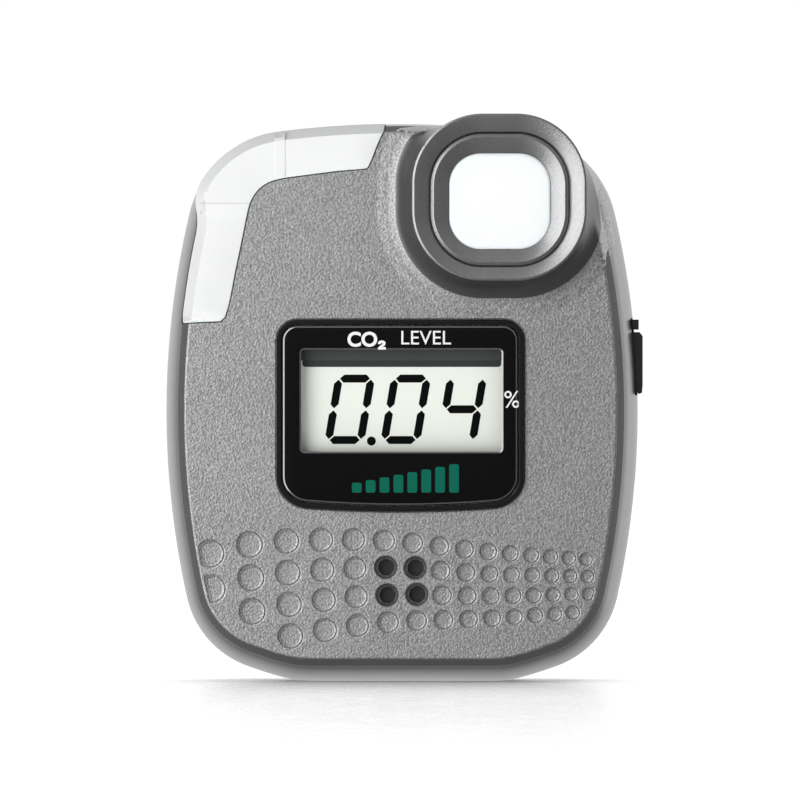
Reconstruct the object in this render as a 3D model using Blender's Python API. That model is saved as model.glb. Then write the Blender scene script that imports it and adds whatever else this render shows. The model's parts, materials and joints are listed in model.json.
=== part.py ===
"""Personal carbon dioxide monitor with a belt clip.

Frame: +Z up, the display faces -Y, +X is to the right of someone looking at the display.
The monitor stands on the small flat at the bottom of its case, at z = 0.
Sizes below are in millimetres; add_solid turns them into metres.
"""
import math

import bpy
import bmesh
from mathutils import Vector

MM = 0.001
GAP = 0.3                     # clearance between neighbouring pieces

# case outline: four large arcs joined by four small ones
BODY_X = -0.38                # middle of the case, left of the middle of case plus USB cover
HALF_WIDTH = 35.82
WIDEST_Z = 41.04
TOP_Z = 84.6
BOTTOM_Z = -1.9               # lowest point of the bottom arc before the flat is taken off at z = 0
SIDE_RADIUS = 130.9
TOP_RADIUS = 148.6
BOTTOM_RADIUS = 68.8
TOP_CORNER = 16.2
BOTTOM_CORNER = 14.5

# insets of an outline from the case outline: (sides, top, bottom)
FACE_INSET = (3.05, 1.5, 3.5)
CHAMFER_INSET = (2.0, 0.5, 2.4)

# depths along Y
FACE_Y = -14.6
CHAMFER_Y = -12.4
FRONT_RIM_Y = -2.0
REAR_RIM_Y = -1.7
REAR_FACE_Y = 10.6
RING_Y = -18.0
WALL = 1.7
FACE_BACK_Y = FACE_Y + WALL
REAR_WALL_Y = REAR_FACE_Y - 1.8
BOARD_Y = (-8.4, -7.2)

# push button
BUTTON_X = 14.6
BUTTON_Z = 73.3
RING_HALF = (13.15, 12.6)
RING_CORNER = 10.6
BEZEL_HALF = (10.4, 9.95)
BEZEL_CORNER = 7.9
LENS_HALF = (7.65, 7.25)
LENS_CORNER = 4.8
LEDGE_Y = -14.4

# display
DISPLAY_X = -0.45
DISPLAY_Z = 40.35
DISPLAY_HALF = (18.75, 14.55)
DISPLAY_CORNER = 4.0
POCKET_Y = -13.7
WINDOW_X = -0.25
WINDOW_Z = 42.6

# gas sensor
SENSOR_X = -0.25
SENSOR_Z = 15.3
SENSOR_RADIUS = 10.0
PORTS = ((-2.6, 17.4), (1.85, 17.3), (-2.4, 13.2), (2.1, 13.3))
PORT_RADIUS = 1.65

# screws
CASE_SCREWS = ((-27.6, 49.0), (27.2, 60.0), (-23.5, 14.0), (23.5, 14.0))
BOARD_SCREWS = CASE_SCREWS[:2]
SCREW_SHANK = 0.75
SCREW_HOLE = 1.05
SCREW_HEAD = 1.9
HEAD_Y = 1.0                  # depth of a case screw's head, at the bottom of its well
POST_RADIUS = 3.2

# USB socket and its cover
USB_Z = 49.25
USB_Y = -5.6
COVER_Z = (43.6, 54.9)
COVER_Y = (-8.6, -3.0)
COVER_X = (34.6, 36.2)
COVER_HINGE = (35.3, 54.1)
RECESS_X = 34.3

# belt clip
CLIP_PIN_Y = 14.1
CLIP_PIN_RADIUS = 0.8
CLIP_BORE = 1.1
LEVER_FRONT_Y = 16.4
CLIP_PIN_Z = 60.0
CLIP_HALF = 10.0
CLIP_BACK_Y = 18.0
BRACKET_BACK_Y = 12.2
CLIP_SCREW_Z = (52.0, 44.0)

# alarm lights: places of the three diodes behind the light guide
LED_PLACES = ((-28.2, 58.0), (-24.6, 72.6), (-12.0, 78.0))

# vibration motor, which stands upright beside the battery
MOTOR_X = 25.2
MOTOR_Y = -2.6
MOTOR_RADIUS = 3.4
MOTOR_WEIGHT_RADIUS = 2.9

# depths of the display parts
LIP_WIDTH = 0.9
BEZEL_FRONT_Y = -15.5
PANEL_FRONT_Y = -15.2

MATERIALS = {}


def finish(name, colour, roughness, metallic=0.0):
    """Return the named material, made on its first use."""
    if name not in MATERIALS:
        material = bpy.data.materials.new(name)
        material.use_nodes = True
        shader = material.node_tree.nodes["Principled BSDF"]
        shader.inputs["Base Color"].default_value = (*colour, 1.0)
        shader.inputs["Roughness"].default_value = roughness
        shader.inputs["Metallic"].default_value = metallic
        MATERIALS[name] = material
    return MATERIALS[name]


def silver_paint():
    return finish("silver_paint", (0.27, 0.27, 0.28), 0.42, 0.55)


def frosted_plastic():
    return finish("frosted_plastic", (0.85, 0.86, 0.86), 0.35)


def black_plastic():
    return finish("black_plastic", (0.012, 0.012, 0.012), 0.3)


def black_gloss():
    return finish("black_gloss", (0.008, 0.008, 0.008), 0.08)


def display_glass():
    return finish("display_glass", (0.75, 0.78, 0.74), 0.15)


def white_plastic():
    return finish("white_plastic", (0.8, 0.8, 0.78), 0.4)


def rubber():
    return finish("rubber", (0.02, 0.02, 0.02), 0.75)


def foam():
    return finish("foam", (0.05, 0.05, 0.055), 0.95)


def board_laminate():
    return finish("board_laminate", (0.02, 0.16, 0.07), 0.45)


def steel():
    return finish("steel", (0.55, 0.55, 0.56), 0.3, 1.0)


def brass():
    return finish("brass", (0.72, 0.55, 0.25), 0.3, 1.0)


def battery_wrap():
    return finish("battery_wrap", (0.45, 0.47, 0.5), 0.4, 0.3)


def membrane():
    return finish("membrane", (0.75, 0.75, 0.74), 0.8)


def add_solid(name, loops, material, ring=False, origin=(0.0, 0.0, 0.0), smooth=False):
    """Join equal loops of 3-D points with faces, and cap both ends unless they form a ring."""
    mesh = bpy.data.meshes.new(name)
    bm = bmesh.new()
    centre = Vector(origin)
    rows = [[bm.verts.new((Vector(point) - centre) * MM) for point in loop] for loop in loops]
    count = len(rows[0])
    pairs = list(zip(rows, rows[1:]))
    if ring:
        pairs.append((rows[-1], rows[0]))
    for near, far in pairs:
        for i in range(count):
            j = (i + 1) % count
            bm.faces.new((near[i], near[j], far[j], far[i]))
    if not ring:
        bm.faces.new(rows[0])
        bm.faces.new(rows[-1])
    bmesh.ops.recalc_face_normals(bm, faces=bm.faces)
    bm.to_mesh(mesh)
    bm.free()
    if smooth:
        mesh.shade_smooth()
        mesh.set_sharp_from_angle(angle=math.radians(35))
    item = bpy.data.objects.new(name, mesh)
    item.location = centre * MM
    mesh.materials.append(material)
    bpy.context.scene.collection.objects.link(item)
    return item


def at_y(points, y):
    return [(x, y, z) for x, z in points]


def slab(name, points, y_front, y_back, material, **extra):
    """A flat piece: one outline in X and Z between two depths."""
    return add_solid(name, [at_y(points, y_front), at_y(points, y_back)], material, **extra)


def box(name, xs, ys, zs, material, **extra):
    points = [(xs[0], zs[0]), (xs[1], zs[0]), (xs[1], zs[1]), (xs[0], zs[1])]
    return slab(name, points, ys[0], ys[1], material, **extra)


def circle(x, z, radius, count=20):
    angles = [2 * math.pi * i / count for i in range(count)]
    return [(x + radius * math.cos(a), z + radius * math.sin(a)) for a in angles]


def turned(name, x, z, profile, material, count=20, **extra):
    """A round piece on an axis along Y; profile holds (radius, depth)."""
    loops = [at_y(circle(x, z, radius, count), y) for radius, y in profile]
    return add_solid(name, loops, material, smooth=True, **extra)


def rounded(x, z, half, corner, steps=5):
    """A rectangle with round corners, anticlockwise from its lower right corner."""
    points = []
    for turn, (sx, sz) in enumerate(((1, -1), (1, 1), (-1, 1), (-1, -1))):
        cx = x + sx * (half[0] - corner)
        cz = z + sz * (half[1] - corner)
        for i in range(steps + 1):
            angle = math.radians(-90 + 90 * turn + 90 * i / steps)
            points.append((cx + corner * math.cos(angle), cz + corner * math.sin(angle)))
    return points


def frame_piece(name, outer, inner, y_front, y_back, material):
    """A flat ring between two outlines that have equal counts."""
    loops = [at_y(outer, y_front), at_y(outer, y_back), at_y(inner, y_back), at_y(inner, y_front)]
    return add_solid(name, loops, material, ring=True)


def helper(item):
    item.hide_render = True
    item.display_type = "WIRE"
    return item


def shape_with(target, tool, operation):
    modifier = target.modifiers.new(operation.lower(), "BOOLEAN")
    modifier.operation = operation
    modifier.object = helper(tool)


def cut(target, tool):
    shape_with(target, tool, "DIFFERENCE")


def join(target, tool):
    shape_with(target, tool, "UNION")


def corner_centre(centre_a, radius_a, centre_b, radius_b, corner, right, high):
    """Centre of the small arc that touches two large arcs from inside."""
    a = Vector(centre_a)
    b = Vector(centre_b)
    span = (b - a).length
    reach_a = radius_a - corner
    reach_b = radius_b - corner
    along = (reach_a ** 2 - reach_b ** 2 + span ** 2) / (2 * span)
    across = math.sqrt(reach_a ** 2 - along ** 2)
    unit = (b - a) / span
    middle = a + unit * along
    side = Vector((-unit.y, unit.x))
    both = (middle + side * across, middle - side * across)
    return max(both, key=lambda p: p.x * right + p.y * high)


def case_outline(inset=(0.0, 0.0, 0.0), side_steps=5, flat_steps=6, corner_steps=5):
    """The case outline with its flat foot, drawn in by the insets, anticlockwise from lower right."""
    side, top, bottom = inset
    right = ((BODY_X + HALF_WIDTH - SIDE_RADIUS, WIDEST_Z), SIDE_RADIUS - side, side_steps)
    left = ((BODY_X - HALF_WIDTH + SIDE_RADIUS, WIDEST_Z), SIDE_RADIUS - side, side_steps)
    upper = ((BODY_X, TOP_Z - TOP_RADIUS), TOP_RADIUS - top, flat_steps)
    lower = ((BODY_X, BOTTOM_Z + BOTTOM_RADIUS), BOTTOM_RADIUS - bottom, flat_steps)
    high = TOP_CORNER - (side + top) / 2
    low = BOTTOM_CORNER - (side + bottom) / 2
    corners = []
    for first, second, radius, sx, sz in ((right, upper, high, 1, 1), (upper, left, high, -1, 1),
                                          (left, lower, low, -1, -1), (lower, right, low, 1, -1)):
        centre = corner_centre(first[0], first[1], second[0], second[1], radius, sx, sz)
        corners.append(((centre.x, centre.y), radius, corner_steps))
    arcs = [right, corners[0], upper, corners[1], left, corners[2], lower, corners[3]]
    points = []
    for index, (centre, radius, steps) in enumerate(arcs):
        before = arcs[index - 1]
        after = arcs[(index + 1) % len(arcs)]
        start = touch_angle(before, arcs[index])
        end = touch_angle(arcs[index], after)
        while end < start:
            end += 2 * math.pi
        for i in range(steps):
            angle = start + (end - start) * i / steps
            x = centre[0] + radius * math.cos(angle)
            z = centre[1] + radius * math.sin(angle)
            points.append((x, max(z, bottom)))
    return points


def touch_angle(first, second):
    """Direction, from either centre, of the point where two touching arcs meet."""
    (big, small) = (first, second) if first[1] > second[1] else (second, first)
    return math.atan2(small[0][1] - big[0][1], small[0][0] - big[0][0])


def even(inset):
    return (inset, inset, inset)


def case_loops_front():
    """Outer skin of the front case, from the face to its rim."""
    stations = ((FACE_Y, FACE_INSET), (CHAMFER_Y, CHAMFER_INSET), (-11.2, (1.1, 0.3, 1.3)),
                (-8.6, (0.4, 0.1, 0.4)), (-5.4, (0.1, 0.0, 0.0)), (FRONT_RIM_Y, even(0.0)))
    return [at_y(case_outline(inset), y) for y, inset in stations]


def boss_solid(name):
    """Raised round-cornered boss about the button, flared into the face on three sides."""
    half_x, half_z = RING_HALF
    stations = ((RING_Y, 0.0, 0.0, 0.0), (-16.6, 0.15, 0.15, 0.0), (-15.6, 0.6, 0.5, 0.0),
                (-14.9, 1.4, 1.0, 0.0), (-14.4, 2.4, 1.6, 0.0), (-12.9, 2.4, 1.6, -0.3),
                (-9.0, 0.5, 0.5, -1.6))
    loops = []
    for y, left_low, right, top in stations:
        half = (half_x + (left_low + right) / 2, half_z + (left_low + top) / 2)
        centre = (BUTTON_X + (right - left_low) / 2, BUTTON_Z + (top - left_low) / 2)
        corner = RING_CORNER + left_low * 0.6
        loops.append(at_y(rounded(*centre, half, corner, steps=6), y))
    return add_solid(name, loops, silver_paint())


def guide_region(shrink):
    """Outline of the corner light guide; shrink draws its inner side in by a clearance."""
    outer = case_outline((1.9 + shrink, 0.35 + shrink, 2.0))
    outer = [p for p in outer if p[1] > 55.5 and p[0] < -3.5]
    inner = ((-27.1, 54.8), (-26.5, 55.9), (-24.4, 66.8), (-23.2, 72.6), (-20.1, 75.9),
             (-14.7, 76.7), (-5.3, 77.7), (-3.8, 81.4))
    points = [(x - shrink, z + shrink) for x, z in inner]
    end_low = (outer[-1][0] + 0.15, 54.5 + shrink)
    end_high = (-2.9 - shrink, outer[0][1])
    return points + [end_high] + outer + [end_low]


def front_case():
    shell = case_loops_front()
    for y, inset in ((FRONT_RIM_Y, 2.2), (-9.0, 2.7), (-11.0, 3.6), (FACE_BACK_Y, 5.2)):
        shell.append(at_y(case_outline(even(inset)), y))
    case = add_solid("front_case", shell, silver_paint())
    join(case, boss_solid("boss_shape"))
    for index, (x, z) in enumerate(CASE_SCREWS):
        post = turned(f"post_shape_{index}", x, z, ((2.4, FACE_BACK_Y - 0.5), (2.4, FRONT_RIM_Y - 0.2)),
                      silver_paint(), 16)
        join(case, post)
    cut_button_well(case)
    pocket = rounded(DISPLAY_X, DISPLAY_Z, (DISPLAY_HALF[0] + GAP, DISPLAY_HALF[1] + GAP), DISPLAY_CORNER)
    cut(case, slab("pocket_cut", pocket, FACE_Y - 1, POCKET_Y, silver_paint()))
    view = rounded(WINDOW_X, WINDOW_Z, (17.0, 10.4), 1.0, 2)
    cut(case, slab("view_cut", view, FACE_Y - 1, FACE_BACK_Y + 1, silver_paint()))
    cut(case, slab("guide_cut", guide_region(0.0), FACE_Y - 2, -11.9, silver_paint()))
    for index, (x, z) in enumerate(PORTS):
        hole = turned(f"port_cut_{index}", x, z, ((PORT_RADIUS, FACE_Y - 1), (PORT_RADIUS, FACE_BACK_Y + 1)),
                      silver_paint(), 16)
        cut(case, hole)
    for index, (x, z) in enumerate(CASE_SCREWS):
        hole = turned(f"thread_cut_{index}", x, z, ((SCREW_HOLE, -10.5), (SCREW_HOLE, 0.0)),
                      silver_paint(), 12)
        cut(case, hole)
    cut(case, box("cover_recess", (RECESS_X, 40.0), (COVER_Y[0] - GAP, COVER_Y[1] + GAP),
                  (COVER_Z[0] - GAP, COVER_Z[1] + GAP), silver_paint()))
    cut(case, box("usb_cut", (28.0, 40.0), (USB_Y - 1.75, USB_Y + 1.75),
                  (USB_Z - 4.3, USB_Z + 4.3), silver_paint()))
    return case


def cut_button_well(case):
    well = (BEZEL_HALF[0] + GAP, BEZEL_HALF[1] + GAP)
    loops = [at_y(rounded(BUTTON_X, BUTTON_Z, well, BEZEL_CORNER + GAP), LEDGE_Y),
             at_y(rounded(BUTTON_X, BUTTON_Z, well, BEZEL_CORNER + GAP), -17.3),
             at_y(rounded(BUTTON_X, BUTTON_Z, (RING_HALF[0] - 0.25, RING_HALF[1] - 0.25),
                          RING_CORNER - 0.2), RING_Y + 0.05),
             at_y(rounded(BUTTON_X, BUTTON_Z, (RING_HALF[0] - 0.15, RING_HALF[1] - 0.15),
                          RING_CORNER - 0.15), RING_Y - 1.0)]
    cut(case, add_solid("well_cut", loops, silver_paint()))
    throat = rounded(BUTTON_X, BUTTON_Z, (7.4, 7.0), LENS_CORNER)
    cut(case, slab("throat_cut", throat, LEDGE_Y - 0.5, -6.0, silver_paint()))


def rear_case():
    stations = ((REAR_FACE_Y, even(4.6)), (10.1, even(3.2)), (8.6, even(1.6)), (5.6, (0.5, 0.5, 0.0)),
                (2.0, (0.1, 0.1, 0.0)), (REAR_RIM_Y, even(0.0)))
    loops = [at_y(case_outline(inset), y) for y, inset in stations]
    for inset, y in ((0.6, REAR_RIM_Y), (0.6, -0.1), (2.0, -0.1), (2.0, REAR_RIM_Y),
                     (2.6, REAR_RIM_Y), (2.6, 5.0), (4.4, REAR_WALL_Y)):
        loops.append(at_y(case_outline(even(inset)), y))
    case = add_solid("rear_case", loops, silver_paint())
    for index, (x, z) in enumerate(CASE_SCREWS):
        post = turned(f"sleeve_shape_{index}", x, z,
                      ((POST_RADIUS, REAR_RIM_Y), (POST_RADIUS, REAR_WALL_Y + 0.5)), silver_paint(), 16)
        join(case, post)
        cut(case, turned(f"sleeve_cut_{index}", x, z, ((SCREW_HOLE, -3.0), (SCREW_HOLE, 3.0)),
                         silver_paint(), 12))
        well = SCREW_HEAD + GAP
        cut(case, turned(f"head_cut_{index}", x, z, ((well, HEAD_Y - 1.2), (well, BRACKET_BACK_Y)),
                         silver_paint(), 16))
    for index, z in enumerate(CLIP_SCREW_Z):
        thread = ((SCREW_HOLE, REAR_WALL_Y - 1), (SCREW_HOLE, BRACKET_BACK_Y))
        cut(case, turned(f"clip_thread_cut_{index}", BODY_X, z, thread, silver_paint(), 12))
    return case


def case_seal():
    return frame_piece("case_seal", case_outline(even(0.9)), case_outline(even(1.7)),
                       REAR_RIM_Y, -0.4, rubber())


def case_screws():
    for index, (x, z) in enumerate(CASE_SCREWS):
        profile = ((0.5, -10.0), (SCREW_SHANK, -9.4), (SCREW_SHANK, -0.4 + GAP), (SCREW_HEAD, -0.4 + GAP),
                   (SCREW_HEAD, HEAD_Y - 0.3), (1.5, HEAD_Y))
        screw = turned(f"case_screw_{index + 1}", x, z, profile, steel(), 16)
        cut(screw, box(f"screw_slot_{index}", (x - 0.25, x + 0.25), (HEAD_Y - 0.4, HEAD_Y + 1),
                       (z - 1.1, z + 1.1), steel()))


def light_guide():
    guide = slab("light_guide", guide_region(GAP), FACE_Y - 1, -12.2, frosted_plastic())
    skin = add_solid("case_skin_shape", case_loops_front(), silver_paint())
    shape_with(guide, skin, "INTERSECT")
    for index, (x, z) in enumerate(LED_PLACES):
        join(guide, box(f"leg_shape_{index}", (x - 0.9, x + 0.9), (-12.6, -10.2), (z - 0.9, z + 0.9),
                        frosted_plastic()))


def alarm_leds():
    for index, (x, z) in enumerate(LED_PLACES):
        box(f"alarm_led_{index + 1}", (x - 1.0, x + 1.0), (-9.9, BOARD_Y[0] - GAP), (z - 0.8, z + 0.8),
            frosted_plastic())


def display_outline(inset):
    half = (DISPLAY_HALF[0] - inset, DISPLAY_HALF[1] - inset)
    return rounded(DISPLAY_X, DISPLAY_Z, half, DISPLAY_CORNER - inset)


def display():
    outer = display_outline(0.0)
    frame_piece("display_bezel", outer, display_outline(LIP_WIDTH), BEZEL_FRONT_Y, POCKET_Y - GAP,
                black_plastic())
    slab("display_lens", display_outline(LIP_WIDTH + GAP), PANEL_FRONT_Y, POCKET_Y - GAP, black_gloss())
    frame_piece("lens_gasket", rounded(WINDOW_X, WINDOW_Z, (16.7, 10.1), 1.0, 2),
                rounded(WINDOW_X, WINDOW_Z, (15.7, 8.6), 1.0, 2), -13.6, -12.9, foam())
    box("lcd_glass", (WINDOW_X - 16.5, WINDOW_X + 16.5), (-12.6, -11.4), (WINDOW_Z - 9.5, WINDOW_Z + 9.5),
        display_glass())
    box("lcd_backlight", (WINDOW_X - 16.2, WINDOW_X + 16.2), (-11.1, -9.9), (WINDOW_Z - 7.4, WINDOW_Z + 9.2),
        white_plastic())
    frame_piece("lcd_frame", rounded(WINDOW_X, WINDOW_Z, (18.6, 11.6), 1.0, 2),
                rounded(WINDOW_X, WINDOW_Z, (16.9, 9.9), 0.6, 2), -12.5, BOARD_Y[0] - GAP, white_plastic())
    box("zebra_strip", (WINDOW_X - 15.0, WINDOW_X + 15.0), (-11.1, BOARD_Y[0] - GAP),
        (WINDOW_Z - 9.3, WINDOW_Z - 7.8), rubber())


def button():
    centre = (BUTTON_X, -17.0, BUTTON_Z)
    hole = (LENS_HALF[0] + GAP, LENS_HALF[1] + GAP)
    front = rounded(BUTTON_X, BUTTON_Z, BEZEL_HALF, BEZEL_CORNER)
    back = rounded(BUTTON_X, BUTTON_Z, hole, LENS_CORNER + GAP)
    loops = [at_y(front, -17.3), at_y(front, -15.9), at_y(back, -15.9), at_y(back, -16.5)]
    add_solid("button_bezel", loops, silver_paint(), ring=True, origin=centre)
    lens = rounded(BUTTON_X, BUTTON_Z, LENS_HALF, LENS_CORNER)
    stem = rounded(BUTTON_X, BUTTON_Z, (5.0, 5.0), LENS_CORNER - 1)
    foot = rounded(BUTTON_X, BUTTON_Z, (1.5, 1.5), 1.2)
    crown = rounded(BUTTON_X, BUTTON_Z, (LENS_HALF[0] - 0.2, LENS_HALF[1] - 0.2), LENS_CORNER)
    loops = [at_y(crown, -16.3), at_y(lens, -16.1), at_y(lens, -15.0), at_y(stem, -15.0), at_y(stem, -13.5),
             at_y(foot, -13.5), at_y(foot, -13.1)]
    add_solid("button_lens", loops, frosted_plastic(), origin=centre)
    frame_piece("button_seal", rounded(BUTTON_X, BUTTON_Z, (10.2, 9.7), 7.6),
                rounded(BUTTON_X, BUTTON_Z, (8.2, 7.8), 5.4), -15.2, LEDGE_Y - GAP, rubber())
    switch = box("tact_switch", (BUTTON_X - 3, BUTTON_X + 3), (-11.6, BOARD_Y[0] - GAP),
                 (BUTTON_Z - 3, BUTTON_Z + 3), black_plastic())
    cut(switch, turned("plunger_cut", BUTTON_X, BUTTON_Z, ((1.95, -13.0), (1.95, -9.6)), steel(), 16))
    turned("tact_plunger", BUTTON_X, BUTTON_Z, ((1.6, -12.8), (1.6, -10.5)), black_plastic(), 16,
           origin=(BUTTON_X, -12.0, BUTTON_Z))


def board():
    outline = [(x, max(z, 27.0)) for x, z in case_outline(even(4.0))]
    points = []
    for point in outline:
        if not points or (Vector(point) - Vector(points[-1])).length > 0.01:
            points.append(point)
    main = slab("main_board", points, BOARD_Y[0], BOARD_Y[1], board_laminate())
    for index, (x, z) in enumerate(BOARD_SCREWS):
        cut(main, turned(f"board_cut_{index}", x, z, ((2.8, -9.0), (2.8, -6.0)), steel(), 16))
    back = BOARD_Y[1] + GAP
    box("processor_chip", (-9.0, -2.0), (back, back + 1.0), (52.0, 59.0), black_plastic())
    turned("sounder", -22.0, 36.0, ((6.0, back), (6.0, back + 3.5), (5.6, back + 4.0)), black_plastic(), 24)
    box("battery_connector", (5.0, 11.0), (back, back + 3.6), (68.0, 72.0), white_plastic())


def usb_socket():
    body = box("usb_connector", (27.8, 33.4), (USB_Y - 1.25, USB_Y + 1.25),
               (USB_Z - 3.75, USB_Z + 3.75), steel())
    cut(body, box("usb_mouth", (29.2, 35.0), (USB_Y - 0.9, USB_Y + 0.9),
                  (USB_Z - 3.35, USB_Z + 3.35), steel()))


def usb_cover():
    """Rubber flap hinged at its top, with a plug that fills the opening, and its fixed anchor."""
    hinge_x, hinge_z = COVER_HINGE
    low = COVER_Z[0]
    high = hinge_z - 1.1
    profile = [(COVER_X[0], low + 1.0), (COVER_X[1] - 0.6, low), (COVER_X[1] - 0.1, low + 0.2),
               (COVER_X[1], low + 1.4), (COVER_X[1], high - 0.6), (COVER_X[1] - 0.5, high), (COVER_X[0], high)]
    flap = slab("usb_cover", profile, COVER_Y[0], COVER_Y[1], rubber(), origin=(hinge_x, USB_Y, hinge_z))
    plug = box("plug_shape", (33.8, COVER_X[0] + 0.4), (USB_Y - 1.3, USB_Y + 1.3), (USB_Z - 3.6, USB_Z + 2.6),
               rubber())
    join(flap, plug)
    box("usb_cover_anchor", (COVER_X[0], COVER_X[1] - 0.6), COVER_Y, (high + GAP + 0.1, COVER_Z[1]), rubber())


def gas_sensor():
    turned("port_filter", SENSOR_X, SENSOR_Z, ((5.0, -12.6), (5.0, -12.3)), membrane(), 24)
    frame_piece("filter_gasket", circle(SENSOR_X, SENSOR_Z, 5.2, 24), circle(SENSOR_X, SENSOR_Z, 4.0, 24),
                -12.0, -11.2, foam())
    can = ((SENSOR_RADIUS - 0.6, -10.9), (SENSOR_RADIUS, -10.4), (SENSOR_RADIUS, 5.0))
    turned("co2_sensor", SENSOR_X, SENSOR_Z, can, steel(), 28)
    box("sensor_board", (-13.0, 12.5), (5.3, 6.3), (5.0, 25.6), board_laminate())


def sensor_ribbon():
    """Flat cable from the main board down to the sensor board."""
    front = BOARD_Y[1] + GAP
    profile = ((front, 32.0), (front, 28.6), (6.6, 26.6), (6.6, 22.0), (7.0, 22.0), (7.0, 27.0),
               (front + 0.3, 29.0), (front + 0.3, 32.0))
    along_x("sensor_ribbon", profile, -4.0, 4.0, battery_wrap())


def upright(outline, z):
    return [(x, y, z) for x, y in outline]


def vibration_motor():
    body = circle(MOTOR_X, MOTOR_Y, MOTOR_RADIUS, 18)
    add_solid("motor_body", [upright(body, 25.0), upright(body, 36.6)], steel(), smooth=True)
    steps = 12
    weight = [(MOTOR_X + MOTOR_WEIGHT_RADIUS * math.cos(math.pi * i / steps),
               MOTOR_Y + MOTOR_WEIGHT_RADIUS * math.sin(math.pi * i / steps)) for i in range(steps + 1)]
    weight += [(MOTOR_X - 0.6, MOTOR_Y - 0.5), (MOTOR_X + 0.6, MOTOR_Y - 0.5)]
    add_solid("motor_weight", [upright(weight, 37.0), upright(weight, 41.0)], brass(),
              origin=(MOTOR_X, MOTOR_Y, 39.0))


def battery():
    box("battery", (-18.4, 17.6), (1.4, 6.6), (34.0, 64.0), battery_wrap())
    box("battery_pad", (-14.4, 13.6), (6.9, 8.4), (38.0, 60.0), foam())
    curve = bpy.data.curves.new("battery_lead", "CURVE")
    curve.dimensions = "3D"
    curve.bevel_depth = 0.7 * MM
    curve.bevel_resolution = 2
    curve.use_fill_caps = True
    spline = curve.splines.new("POLY")
    ends = ((8.0, 4.2, 64.4), (8.0, 3.6, 70.0), (8.0, 0.6, 72.4), (8.0, -2.6, 72.4))
    steps = 14
    spline.points.add(steps)
    for i in range(steps + 1):
        t = i / steps
        weights = ((1 - t) ** 3, 3 * t * (1 - t) ** 2, 3 * t * t * (1 - t), t ** 3)
        place = [sum(w * end[axis] for w, end in zip(weights, ends)) * MM for axis in range(3)]
        spline.points[i].co = (*place, 1.0)
    lead = bpy.data.objects.new("battery_lead", curve)
    curve.materials.append(rubber())
    bpy.context.scene.collection.objects.link(lead)


def along_x(name, profile, x0, x1, material, **extra):
    """A piece of constant profile (y, z) between two places along X."""
    loops = [[(x, y, z) for y, z in profile] for x in (x0, x1)]
    return add_solid(name, loops, material, **extra)


def round_along_x(name, y, z, radius, x0, x1, material, count=16, **extra):
    profile = [(y + radius * math.cos(2 * math.pi * i / count), z + radius * math.sin(2 * math.pi * i / count))
               for i in range(count)]
    return along_x(name, profile, x0, x1, material, smooth=True, **extra)


def belt_clip():
    x = BODY_X
    y = CLIP_PIN_Y
    z = CLIP_PIN_Z
    base = rounded(x, 50.0, (CLIP_HALF, 14.0), 2.0, 3)
    bracket = slab("clip_bracket", base, REAR_FACE_Y + GAP, BRACKET_BACK_Y, black_plastic())
    for index, side in enumerate((-1, 1)):
        ear = [(11.6, z - 4.0), (y + 1.1, z - 2.0), (y + 1.9, z), (y + 1.1, z + 1.8), (11.6, z + 3.2)]
        join(bracket, along_x(f"ear_shape_{index}", ear, x + side * 7.6, x + side * 9.8,
                              black_plastic()))
    cut(bracket, round_along_x("bracket_bore", y, z, CLIP_BORE, x - 11, x + 11, black_plastic()))
    under_head = BRACKET_BACK_Y + GAP
    for index, place in enumerate(CLIP_SCREW_Z):
        cut(bracket, turned(f"bracket_cut_{index}", x, place, ((SCREW_HOLE, 8.0), (SCREW_HOLE, 14.0)),
                            steel(), 12))
        profile = ((SCREW_SHANK, 9.2), (SCREW_SHANK, under_head), (SCREW_HEAD, under_head),
                   (SCREW_HEAD, under_head + 0.6), (1.4, under_head + 0.9))
        turned(f"clip_screw_{index + 1}", x, place, profile, steel(), 16)
    plate = [(LEVER_FRONT_Y, z + 11.0), (CLIP_BACK_Y - 0.6, z + 11.6), (CLIP_BACK_Y, z + 10.0),
             (CLIP_BACK_Y, z - 38.0), (CLIP_BACK_Y - 1.0, z - 41.0), (12.4, z - 42.0), (11.0, z - 41.0),
             (11.0, z - 40.0), (13.8, z - 39.0), (LEVER_FRONT_Y, z - 36.0)]
    lever = along_x("clip_lever", plate, x - CLIP_HALF, x + CLIP_HALF, black_plastic(),
                    origin=(x, y, z))
    for index, side in enumerate((-1, 1)):
        knuckle = [(y - 1.5, z), (y - 1.1, z - 1.5), (LEVER_FRONT_Y + 0.4, z - 3.4),
                   (LEVER_FRONT_Y + 0.4, z + 3.4), (y - 1.1, z + 1.5)]
        join(lever, along_x(f"knuckle_shape_{index}", knuckle, x + side * 5.0, x + side * 7.2,
                            black_plastic()))
    cut(lever, round_along_x("lever_bore", y, z, CLIP_BORE, x - 11, x + 11, black_plastic()))
    round_along_x("clip_pin", y, z, CLIP_PIN_RADIUS, x - 9.6, x + 9.6, steel(), 14)
    clip_spring(x, y, z)


def clip_spring(x, y, z):
    """Torsion spring: a coil round the pin with a leg on the bracket and a leg under the lever."""
    radius = 1.35
    steps_per_turn = 12
    steps = int(3.5 * steps_per_turn)
    curve = bpy.data.curves.new("clip_spring", "CURVE")
    curve.dimensions = "3D"
    curve.bevel_depth = 0.3 * MM
    curve.bevel_resolution = 1
    curve.use_fill_caps = True
    spline = curve.splines.new("POLY")
    path = [(x - 3.2, 12.85, z - 6.5)]
    for i in range(steps + 1):
        angle = 2 * math.pi * i / steps_per_turn + math.pi
        path.append((x - 3.2 + 6.4 * i / steps, y + radius * math.cos(angle), z + radius * math.sin(angle)))
    path.append((x + 3.2, 15.7, z - 6.0))
    spline.points.add(len(path) - 1)
    for point, place in zip(spline.points, path):
        point.co = (*[value * MM for value in place], 1.0)
    spring = bpy.data.objects.new("clip_spring", curve)
    curve.materials.append(steel())
    bpy.context.scene.collection.objects.link(spring)


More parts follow.
